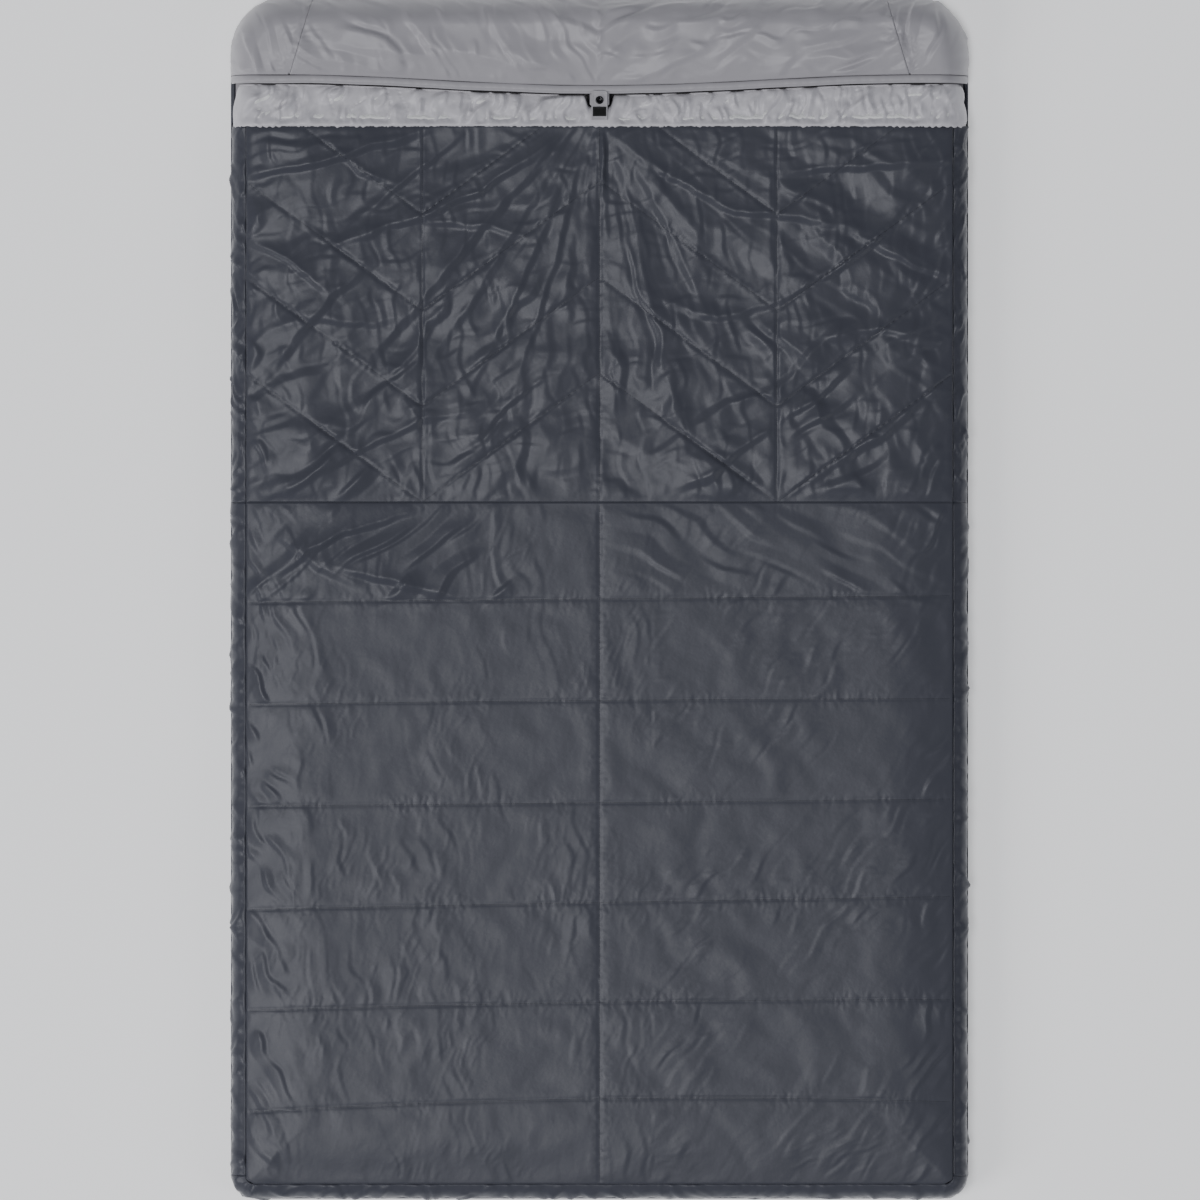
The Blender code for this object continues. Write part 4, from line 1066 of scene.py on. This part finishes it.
def outline_loop(inset, count=360):
    """Points round the quilt's plan, drawn in by inset."""
    points = []
    for sx, sy, radius, first in (
        (1, 1, HEAD_RADIUS, 0), (-1, 1, HEAD_RADIUS, 90), (-1, -1, FOOT_RADIUS, 180),
        (1, -1, FOOT_RADIUS, 270),
    ):
        angle = np.radians(first + np.linspace(0, 90, 13))
        x = sx * (HALF_WIDTH - radius) + (radius - inset) * np.cos(angle)
        y = sy * (HALF_LENGTH - radius) + (radius - inset) * np.sin(angle)
        points.append(np.stack([x, y], -1))
    corners = np.concatenate([*points, points[0][:1]])
    run = np.concatenate([[0], np.cumsum(np.hypot(*np.diff(corners, axis=0).T))])
    place = np.linspace(0, run[-1], count + 1)[:-1]
    return np.stack([np.interp(place, run, corners[:, k]) for k in (0, 1)], -1), place


def base_layer(low, high, inset, relief, seed):
    """Points of a flat layer that drops a little at its rim, with its own slight relief."""
    y = np.linspace(-HALF_LENGTH + inset + 0.001, HALF_LENGTH - inset - 0.001, 180)
    u, y = np.meshgrid(np.linspace(-1, 1, 110), y)
    x = u * (outline_half_width(y) - inset)
    edge = np.maximum(edge_distance(x, y) - inset, 0)
    rim = np.exp(-edge / 0.004)
    height = relief * (noise(x, y, 0.05, seed) + creases(x, y, 0.02, 0.12, 30, seed + 1) - 1.4)
    z = high - 0.35 * (high - low) * rim + height * (1 - rim)
    return np.stack([x, y, z], -1)


def add_ground_sheet():
    """The outer sheet: flat underneath, rolled up round the rim to a bound edge."""
    section = (
        (0.060, 0.0), (0.004, 0.0), (0.0012, 0.0008), (0.0, 0.0026), (0.0, 0.0058),
        (0.0012, 0.0074), (0.0042, 0.0080), (0.0090, 0.0079),
    )
    rings = []
    for inset, z in section:
        loop, place = outline_loop(inset)
        if 0 < z < 0.007 and inset < 0.002:  # small tucks in the rolled rim
            loop[:, 0] *= 1 - abs(0.0003 * noise(place, place * 0, 0.02, 91))
        rings.append(np.column_stack([loop, np.full(len(place), z)]))
    rings = np.stack(rings)
    closed = np.concatenate([rings, rings[:, :1]], axis=1)
    sheet = cloth_object("ground_sheet", closed, closed[..., :2], DARK)
    mesh = sheet.data
    form = bmesh.new()
    form.from_mesh(mesh)
    bmesh.ops.remove_doubles(form, verts=form.verts[:], dist=1e-6)
    inner = [edge for edge in form.edges if edge.is_boundary and edge.verts[0].co.z < 0.001]
    bmesh.ops.holes_fill(form, edges=inner)
    bmesh.ops.recalc_face_normals(form, faces=form.faces[:])
    if sum(face.normal.z * face.calc_area() for face in form.faces) > 0:
        bmesh.ops.reverse_faces(form, faces=form.faces[:])
    form.to_mesh(mesh)
    form.free()
    thicken(sheet, BASE_FABRIC)
    riding(sheet, "base", "dark_taffeta", "base_shell")


def add_base():
    add_ground_sheet()
    low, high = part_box("base_wadding")
    points = base_layer(low.z, high.z, 0.003, 0.0003, 93)
    wadding = cloth_object("base_filling", points, points[..., :2], WADDING, floor_z=low.z)
    riding(wadding, "base", "wadding", "base_wadding")
    points = base_layer(BASE_LINING_LOW.z, BASE_LINING_HIGH.z, 0.0035, 0.0004, 95)
    lining = cloth_object("base_inner_sheet", points, points[..., :2], LIGHT, LINING_FABRIC)
    riding(lining, "base", "light_taffeta", "base_lining")


add_base()


def add_hem_elastic():
    """The flat elastic inside the hem, gathered into small waves."""
    low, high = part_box("hood_elastic")
    reach = HALF_WIDTH - 0.006
    x, v = np.meshgrid(np.linspace(-reach, reach, 420), np.linspace(0, 1, 5))
    inside = np.clip((HALF_WIDTH - np.abs(x)) / DOME, 0, 1)
    z = FLOOR + (MOUTH_TOP - FLOOR) * np.sqrt(1 - (1 - inside) ** 2) - HEM_THICKNESS / 2
    y = mouth_y(x) + HEM_WIDTH / 2 + (v - 0.5) * 0.0095
    z = np.maximum(z + 0.0003 * np.sin(x / 0.0011), FLOOR + 0.001)
    points = np.stack([x * (1 - 0.0022 * (inside < 0.3)), y, z], -1)
    band = cloth_object("hem_elastic_band", points, np.stack([x, y], -1), ELASTIC, HEM_FABRIC)
    riding(band, "base", "elastic", "hood_elastic")


add_hem_elastic()


# Sewing thread

STITCH = 0.0031  # a stitch's length
STITCH_PITCH = 0.0040
THREAD_RADIUS = 0.00028


def add_thread(name, starts, ends, finish):
    """Each stitch is a short four-sided spindle from its start to its end."""
    starts, ends = np.asarray(starts, float), np.asarray(ends, float)
    along = ends - starts
    length = np.linalg.norm(along, axis=1, keepdims=True)
    along = along / np.maximum(length, 1e-9)
    aside = np.cross(along, (0.0, 0.0, 1.0))
    aside /= np.maximum(np.linalg.norm(aside, axis=1, keepdims=True), 1e-9)
    up = np.cross(aside, along)
    rings = [starts[:, None]]
    for share in (0.18, 0.82):
        middle = starts + (ends - starts) * share
        ring = [middle + THREAD_RADIUS * d for d in (aside, up, -aside, -up)]
        rings.append(np.stack(ring, 1))
    rings.append(ends[:, None])
    verts = np.concatenate(rings, axis=1)
    faces = []
    for k in range(4):
        after = (k + 1) % 4
        faces += [(0, 1 + after, 1 + k), (1 + k, 1 + after, 5 + after, 5 + k), (9, 5 + k, 5 + after)]
    all_faces = [[10 * n + v for v in face] for n in range(len(verts)) for face in faces]
    mesh = bpy.data.meshes.new(name)
    mesh.from_pydata(verts.reshape(-1, 3).tolist(), [], all_faces)
    mesh.uv_layers.new(name="cloth")
    return linked(name, mesh, finish)


def stitched_path(path):
    """Starts and ends of stitches along a plan path of (x, y) points."""
    path = np.asarray(path, float)
    run = np.concatenate([[0], np.cumsum(np.hypot(*np.diff(path, axis=0).T))])
    first = np.arange(0.002, run[-1] - STITCH, STITCH_PITCH)
    return [
        np.stack([np.interp(first + d, run, path[:, k]) for k in (0, 1)], -1) for d in (0, STITCH)
    ]


def cover_seams(upper):
    """The plan paths of the stitch lines of one cover."""
    across = np.linspace(-SEAM_X + 0.004, SEAM_X - 0.004, 60)
    if not upper:
        paths = [np.stack([across, row_y(across, heights)], -1) for heights in ROWS]
        return paths + [[(0, FOOT_SEAM_Y + 0.004), (0, FOLD_Y - 0.004)]]
    paths = [[(x, FOLD_Y + 0.004), (x, COLLAR_SEAM - 0.003)] for x in (-UPRIGHT_X, 0, UPRIGHT_X)]
    paths.append([(-SEAM_X + 0.004, FOLD_Y + 0.0015), (SEAM_X - 0.004, FOLD_Y + 0.0015)])
    for low in np.arange(FOLD_Y, COLLAR_SEAM, CHEVRON_STEP):
        for turn, reach in ((UPRIGHT_X, UPRIGHT_X), (UPRIGHT_X, SEAM_X - UPRIGHT_X - 0.004)):
            outward = 1 if reach < UPRIGHT_X else -1
            reach = min(reach, (COLLAR_SEAM - 0.003 - low) / CHEVRON_SLOPE)
            for side in (-1, 1):
                far = (side * (turn + outward * reach), low + CHEVRON_SLOPE * reach)
                paths.append([(side * turn, low), far])
    return paths


def surface_height(points, x, y):
    """Height of a cover's sheet at plan places, read between its points."""
    rows, columns = points.shape[:2]
    v = (y - points[0, 0, 1]) / (points[-1, 0, 1] - points[0, 0, 1]) * (rows - 1)
    u = (x / cover_half_width(y) + 1) / 2 * (columns - 1)
    i, j = np.clip(u.astype(int), 0, columns - 2), np.clip(v.astype(int), 0, rows - 2)
    fu, fv = u - i, v - j
    z = points[..., 2]
    low = z[j, i] * (1 - fu) + z[j, i + 1] * fu
    high = z[j + 1, i] * (1 - fu) + z[j + 1, i + 1] * fu
    return low * (1 - fv) + high * fv


def sew_cover(name, points, upper):
    starts, ends = [], []
    for path in cover_seams(upper):
        first, last = stitched_path(path)
        for plan, found in ((first, starts), (last, ends)):
            z = surface_height(points, plan[:, 0], plan[:, 1]) + 0.6 * THREAD_RADIUS
            found.append(np.column_stack([plan, z]))
    thread = add_thread(name, np.concatenate(starts), np.concatenate(ends), DARK_THREAD)
    blended(thread, "dark_taffeta")


for cover_name, cover_sheet in COVER_SHEETS.items():
    sew_cover(f"{cover_name}_thread", cover_sheet, cover_name == "upper_quilt")


# Tab, tongue, snap and hook patch


def strap_sheet(name, half_width, near, far, corner, top, seed):
    """A short flat strap with two rounded far corners and a softly bowed face."""
    rows = 40
    y = np.linspace(near, far, rows)
    into = np.clip(y - (far - corner), 0, corner)
    width = half_width - corner + np.sqrt(np.maximum(corner**2 - into**2, 0))
    u, y = np.meshgrid(np.linspace(-1, 1, 30), y)
    x = u * width[:, None]
    edge = np.minimum((1 - np.abs(u)) * half_width, far - y)
    hem = 0.00035 * (1 - smooth((edge - 0.0035) / 0.001))
    groove = -0.00025 * np.exp(-(((edge - 0.0032) / 0.0006) ** 2))
    bow = 0.0003 * noise(x, y, 0.02, seed)
    quiet = smooth((np.hypot(x, y - SNAP_Y) - 0.009) / 0.004)
    z = top + (bow * quiet - 0.0003 + hem + groove) * 0.8
    return cloth_object(name, np.stack([x, y, z], -1), np.stack([x, y], -1), LIGHT, STRAP_FABRIC)


def stitched_box(half_width, near, far, z):
    """Stitches round a rectangle."""
    loop = [(-half_width, near), (half_width, near), (half_width, far), (-half_width, far)]
    first, last = stitched_path(loop + loop[:1])
    return [np.column_stack([plan, np.full(len(plan), z)]) for plan in (first, last)]


def add_tab():
    half = (TAB_HIGH.x - TAB_LOW.x) / 2
    strap = strap_sheet("tab", half, TAB_LOW.y, TAB_HIGH.y, 0.006, TAB_HIGH.z, 101)
    riding(strap, "tab", "light_taffeta", "tab_strap")
    starts, ends = stitched_box(half - 0.0030, TAB_LOW.y + 0.003, TAB_HIGH.y - 0.004, TAB_HIGH.z)
    thread = add_thread("tab_thread", starts, ends, LIGHT_THREAD)
    riding(thread, "tab", "light_taffeta")
    starts, ends = stitched_box(
        (PATCH_HIGH.x - PATCH_LOW.x) / 2 - 0.0016, PATCH_LOW.y + 0.0016, PATCH_HIGH.y - 0.0016,
        PATCH_LOW.z + 0.0011,
    )
    riding(add_thread("hook_patch_thread", starts, ends, DARK_THREAD), "tab", "hook_tape")


def add_hook_patch():
    """Hook tape: a woven ground with rows of small nylon hooks and a plain edge."""
    centre_y = (PATCH_LOW.y + PATCH_HIGH.y) / 2
    size = (PATCH_HIGH.x - PATCH_LOW.x, PATCH_HIGH.y - PATCH_LOW.y, 0.0010)
    bpy.ops.object.select_all(action="DESELECT")
    bpy.ops.mesh.primitive_cube_add(size=1, location=(0, centre_y, PATCH_LOW.z + size[2] / 2))
    ground = bpy.context.object
    ground.scale = size
    apply_place()
    bpy.ops.object.mode_set(mode="EDIT")
    bpy.ops.mesh.select_all(action="SELECT")
    bpy.ops.mesh.bevel(offset=0.0003, segments=2)
    bpy.ops.object.mode_set(mode="OBJECT")
    ground.name = "hook_tape_ground"
    ground.data.materials.append(HOOK)
    riding(ground, "tab", "hook_tape", "hook_patch")
    pitch, edge = 0.00115, 0.0026
    x, y = np.meshgrid(
        np.arange(-size[0] / 2 + edge, size[0] / 2 - edge, pitch),
        np.arange(PATCH_LOW.y + edge, PATCH_HIGH.y - edge, pitch),
    )
    x = x + 0.0002 * noise(x, y, 0.0023, 111)
    y = y + 0.0002 * noise(x, y, 0.0023, 112)
    foot = np.stack([x.ravel(), y.ravel(), np.full(x.size, PATCH_LOW.z + 0.0010)], -1)
    bends = ((0, 0), (0.00005, 0.0006), (0.0003, 0.00095), (0.0006, 0.0008))
    flip = np.where(np.arange(x.size) % 2, 1, -1)[:, None]
    stages = [foot + np.column_stack([flip * 0, flip * out, 0 * flip + up]) for out, up in bends]
    starts = np.concatenate(stages[:-1])
    ends = np.concatenate(stages[1:])
    hooks = add_thread("nylon_hooks", starts, ends, HOOK)
    riding(hooks, "tab", "hook_tape")


POLE = 0.00002  # the radius at which a turned piece closes on its axis


def add_turned(name, profile, foot_z, body, node):
    """A piece turned about the snap's axis: a ring drawn on, step by step, along its profile."""
    centre = Vector((0, SNAP_Y, foot_z))
    radius, height = profile[0]
    bpy.ops.object.select_all(action="DESELECT")
    bpy.ops.mesh.primitive_circle_add(
        vertices=48, radius=radius, location=centre + Vector((0, 0, height))
    )
    obj = bpy.context.object
    apply_place()
    bpy.ops.object.mode_set(mode="EDIT")
    bpy.ops.mesh.select_all(action="SELECT")
    for (before, low), (after, high) in zip(profile, profile[1:]):
        bpy.ops.mesh.extrude_edges_move(TRANSFORM_OT_translate={"value": (0, 0, high - low)})
        share = after / before
        bpy.ops.transform.resize(
            value=(share, share, 1), center_override=(centre.x, centre.y, centre.z + high)
        )
    bpy.ops.mesh.select_all(action="SELECT")
    bpy.ops.mesh.remove_doubles(threshold=1e-6)
    bpy.ops.mesh.fill_holes(sides=0)
    bpy.ops.mesh.select_all(action="SELECT")
    bpy.ops.mesh.normals_make_consistent(inside=False)
    bpy.ops.object.mode_set(mode="OBJECT")
    obj.name = name
    obj.data.materials.append(SNAP)
    bpy.ops.object.shade_smooth_by_angle(angle=radians(35))
    riding(obj, body, "snap_metal", node)


def add_snap():
    """A press stud: a cap with a rolled rim and a dished middle over the tab, its spring
    socket under it, and the stud and its back on the tongue."""
    cap_low, cap_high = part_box("snap_cap")
    cap_radius = (cap_high.x - cap_low.x) / 2
    rise = cap_high.z - TAB_HIGH.z - GAP
    seat = TAB_HIGH.z + GAP
    barrel = 0.0017
    cap = [
        (POLE, 0.45 * rise), (0.0012, 0.42 * rise), (0.0026, 0.45 * rise), (0.0034, 0.62 * rise),
        (0.0040, 0.86 * rise), (0.0047, 0.97 * rise), (0.0056, 1.00 * rise), (0.0064, 0.93 * rise),
        (0.0070, 0.74 * rise), (0.0074, 0.45 * rise), (cap_radius, 0.20 * rise),
        (0.0074, 0.0), (0.0068, 0.0), (barrel, 0.0), (barrel, cap_low.z - seat),
        (POLE, cap_low.z - seat),
    ]
    add_turned("press_cap", cap, seat, "tab", "snap_cap")
    low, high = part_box("snap_socket")
    radius, depth, mouth = (high.x - low.x) / 2, high.z - low.z, 0.0034
    socket = [
        (mouth, 0.0003), (mouth + 0.0002, 0), (radius - 0.0009, 0), (radius - 0.0002, 0.0003),
        (radius, 0.0009), (radius - 0.0004, depth - 0.0004), (radius - 0.0010, depth),
        (0.0021, depth), (0.0021, depth - 0.0007), (mouth, depth - 0.0007), (mouth, 0.0003),
    ]
    add_turned("press_socket", socket[::-1], low.z, "tab", "snap_socket")
    low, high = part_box("snap_stud")
    radius, depth, hole = (high.x - low.x) / 2, high.z - low.z, 0.0021
    stud = [
        (hole, depth - 0.0002), (hole + 0.0003, depth), (0.0026, depth), (0.0030, depth - 0.0004),
        (0.0029, depth - 0.0010), (0.0027, 0.0012), (0.0029, 0.0009), (radius - 0.0003, 0.0008),
        (radius, 0.0005), (radius - 0.0003, 0), (hole, 0), (hole, depth - 0.0002),
    ]
    add_turned("press_stud", stud, low.z, "base", "snap_stud")
    low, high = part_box("snap_post")
    radius, depth = (high.x - low.x) / 2, high.z - low.z
    post = [
        (POLE, depth), (0.0012, depth), (barrel - 0.0001, depth - 0.0005), (barrel - 0.0001, 0.0008),
        (radius - 0.0003, 0.0008), (radius, 0.0005), (radius - 0.0002, 0.0001), (0.0030, 0.0),
        (0.0022, 0.0004), (POLE, 0.0004),
    ]
    add_turned("press_post", post, low.z, "base", "snap_post")


def add_tongue():
    half = (TONGUE_HIGH.x - TONGUE_LOW.x) / 2
    flap = strap_sheet("tongue", half, -TONGUE_HIGH.y, -TONGUE_LOW.y, 0.004, TONGUE_HIGH.z, 103)
    for vert in flap.data.vertices:  # its rounded end points to the foot
        vert.co = (-vert.co.x, -vert.co.y, vert.co.z)
    riding(flap, "base", "light_taffeta", "hood_tongue")


add_tab()
add_hook_patch()
add_snap()
add_tongue()


# Side zips

TAPE_FABRIC = 0.0006
HALF_BEAD = 0.0012  # tape's edge to the coil's middle
COIL_RADIUS = 0.00086
COIL_PITCH = 0.0018
COIL_WIRE = 0.00032


def add_zip_side(side_name, part, body):
    """A twill tape with a slight wave, and its nylon coil wound along one edge."""
    low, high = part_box(f"zip_{part}_tape_{side_name}")
    x0 = (low.x + high.x) / 2
    bead_z = high.z - HALF_BEAD if part == "base" else low.z + HALF_BEAD
    free_z = low.z if part == "base" else high.z
    up = 1 if bead_z > free_z else -1
    y, v = np.meshgrid(np.arange(low.y, high.y, 0.005), np.linspace(0, 1, 9))
    z = free_z + (bead_z - up * 0.0002 - free_z) * v
    x = x0 + 0.00012 * noise(y, 0 * y, 0.03, 121) * (1 - v)
    points = np.stack([x - 0.0003, y, z], -1)
    tape = cloth_object(
        f"zip_{part}_ribbon_{side_name}", points, np.stack([y, z], -1), TAPE, TAPE_FABRIC
    )
    turns = (high.y - low.y - 0.002) / COIL_PITCH
    t = np.linspace(0, 2 * pi * turns, int(turns * 10) + 1)
    along = low.y + 0.001 + COIL_PITCH * t / (2 * pi)
    centre = np.stack(
        [x0 + COIL_RADIUS * np.cos(t), along, bead_z + COIL_RADIUS * np.sin(t)], -1
    )
    turn = np.linspace(0, 2 * pi, 6)[:, None]
    out = np.stack([np.cos(t), 0 * t, np.sin(t)], -1)
    points = (
        centre + COIL_WIRE * np.cos(turn)[..., None] * out
        + COIL_WIRE * np.sin(turn)[..., None] * np.array([0.0, 1.0, 0.0])
    )
    flat_coil = np.stack(np.broadcast_arrays(t * 0.001, turn * 0.0003), -1)
    coil = cloth_object(f"zip_{part}_coil_{side_name}", points, flat_coil, COIL)
    riding(tape, body, "zip_tape", f"zip_{part}_tape_{side_name}")
    riding(coil, body, "zip_tape")


def add_box_part(size, place, bevel, taper=1.0):
    """A bevelled block, drawn in at its +Y end by taper."""
    bpy.ops.object.select_all(action="DESELECT")
    bpy.ops.mesh.primitive_cube_add(size=1, location=place)
    obj = bpy.context.object
    obj.scale = size
    apply_place()
    for vert in obj.data.vertices:
        if vert.co.y > place[1]:
            vert.co.z = place[2] + (vert.co.z - place[2]) * taper
    bpy.ops.object.mode_set(mode="EDIT")
    bpy.ops.mesh.select_all(action="SELECT")
    bpy.ops.mesh.bevel(offset=bevel, segments=3)
    bpy.ops.object.mode_set(mode="OBJECT")
    return obj


def join_parts(name, parts, material):
    bpy.ops.object.select_all(action="DESELECT")
    for part in parts:
        part.select_set(True)
    bpy.context.view_layer.objects.active = parts[0]
    bpy.ops.object.join()
    obj = bpy.context.object
    obj.name = name
    obj.data.materials.clear()
    obj.data.materials.append(material)
    bpy.ops.object.shade_smooth_by_angle(angle=radians(40))
    return obj


def add_slider(side_name, side):
    """A slider: two wings joined by a post at the nose, flanges that guide the coils and a bail."""
    low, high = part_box(f"zip_slider_{side_name}")
    chain_x = sum(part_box(f"zip_base_tape_{side_name}")[k].x for k in (0, 1)) / 2
    y, z = (low.y + high.y) / 2, (low.z + high.z) / 2
    length, height, plate = high.y - low.y, high.z - low.z, 0.0013
    inner = 0.0018
    parts = []
    for face in (-1, 1):
        wing_x = chain_x + face * side * (inner + plate / 2)
        parts.append(add_box_part((plate, length, height), (wing_x, y, z), 0.0005, 0.72))
        swell_x = wing_x + face * side * 0.0005
        parts.append(
            add_box_part((plate * 0.6, length * 0.55, height * 0.5), (swell_x, y, z), 0.0003)
        )
    post = (2 * inner + plate, 0.0028, 0.0011)
    parts.append(add_box_part(post, (chain_x, high.y - 0.0020, z), 0.0003))
    bail_x = chain_x + side * (inner + plate)
    bpy.ops.object.select_all(action="DESELECT")
    bpy.ops.mesh.primitive_torus_add(
        location=(bail_x, y, z), rotation=(pi / 2, 0, 0), major_radius=0.0024, minor_radius=0.00055,
        major_segments=28, minor_segments=10,
    )
    bail = bpy.context.object
    apply_place()
    bpy.ops.object.mode_set(mode="EDIT")
    bpy.ops.mesh.select_all(action="SELECT")
    bpy.ops.mesh.bisect(
        plane_co=(bail_x - side * 0.0003, y, z), plane_no=(side, 0, 0), clear_inner=True, use_fill=True
    )
    bpy.ops.object.mode_set(mode="OBJECT")
    parts.append(bail)
    slider = join_parts(f"slider_{side_name}_body", parts, ZINC)
    riding(slider, f"slider_{side_name}", "zip_metal", f"zip_slider_{side_name}")


def add_pull(side_name):
    """A moulded pull: an eye on the bail, a waist, and a ribbed grip with rounded edges."""
    low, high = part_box(f"zip_pull_{side_name}")
    x, z = (low.x + high.x) / 2, (low.z + high.z) / 2
    eye_y = high.y - 0.0017
    bpy.ops.object.select_all(action="DESELECT")
    bpy.ops.mesh.primitive_torus_add(
        location=(x, eye_y, z), major_radius=0.00135, minor_radius=0.00034,
        major_segments=24, minor_segments=8,
    )
    eye = bpy.context.object
    eye.scale.z = 3.6
    apply_place()
    grip_start = eye_y - 0.0013
    grip_length = grip_start - low.y
    parts = [eye]
    width = high.z - low.z
    parts.append(add_box_part((0.0013, 0.008, 0.0030), (x, grip_start - 0.004, z), 0.0004))
    blade = grip_length - 0.006
    parts.append(add_box_part((0.0015, blade, width), (x, low.y + blade / 2, z), 0.0006, 0.75))
    for step in range(6):
        rib_y = low.y + 0.003 + 0.0022 * step
        parts.append(add_box_part((0.0016, 0.0009, width * 0.72), (x, rib_y, z), 0.0003))
    pull = join_parts(f"pull_{side_name}_grip", parts, PULL)
    riding(pull, f"pull_{side_name}", "pull_plastic", f"zip_pull_{side_name}")


for side_name, side in SIDES:
    add_zip_side(side_name, "base", "base")
    add_zip_side(side_name, "cover", "cover_upper")
    add_slider(side_name, side)
    add_pull(side_name)


# Camera, lights and floor

CAMERA_HEIGHT = 30.0
PICTURE_WIDTH = 2.226  # what the view takes in at the height of the cover
SENSOR = 36.0
bpy.ops.object.camera_add(location=(0.0009, -0.004, CAMERA_HEIGHT), rotation=(0, 0, 0))
camera = bpy.context.object
camera.data.sensor_width = SENSOR
camera.data.lens = SENSOR * (CAMERA_HEIGHT - 0.09) / PICTURE_WIDTH
camera.data.clip_end = 100
bpy.context.scene.camera = camera


def add_softbox(name, place, size, power, colour):
    """A rectangular light turned towards the quilt's middle."""
    data = bpy.data.lights.new(name, "AREA")
    data.shape = "RECTANGLE"
    data.size, data.size_y = size
    data.energy = power
    data.color = colour
    light = bpy.data.objects.new(name, data)
    light.location = place
    light.rotation_euler = (-Vector(place)).to_track_quat("-Z", "Y").to_euler()
    bpy.context.scene.collection.objects.link(light)


add_softbox("softbox_over", (-6.0, -2.6, 31), (12.5, 6.6), 3700, (0.97, 0.97, 1.0))
add_softbox("softbox_left", (-9, -5, 7), (5, 6), 620, (0.98, 0.98, 1.0))
add_softbox("softbox_right", (9, -5, 7), (5, 6), 160, (0.97, 0.98, 1.0))

world = bpy.data.worlds.new("studio")
bpy.context.scene.world = world
world.use_nodes = True
sky = world.node_tree.nodes["Background"]
sky.inputs["Color"].default_value = (0.78, 0.84, 0.95, 1.0)
sky.inputs["Strength"].default_value = 0.19

bpy.ops.mesh.primitive_plane_add(size=24, location=(0, 0, -0.0006))
floor = bpy.context.object
floor.name = "studio_floor"
# Matt white paint, with a faint glow of its own that keeps it pale
floor_material, _, floor_shader = new_material("painted_studio_floor")
floor_shader.inputs["Base Color"].default_value = (0.92, 0.92, 0.92, 1.0)
floor_shader.inputs["Roughness"].default_value = 0.8
floor_shader.inputs["Emission Color"].default_value = (1.0, 1.0, 1.0, 1.0)
floor_shader.inputs["Emission Strength"].default_value = 0.45
floor.data.materials.append(floor_material)
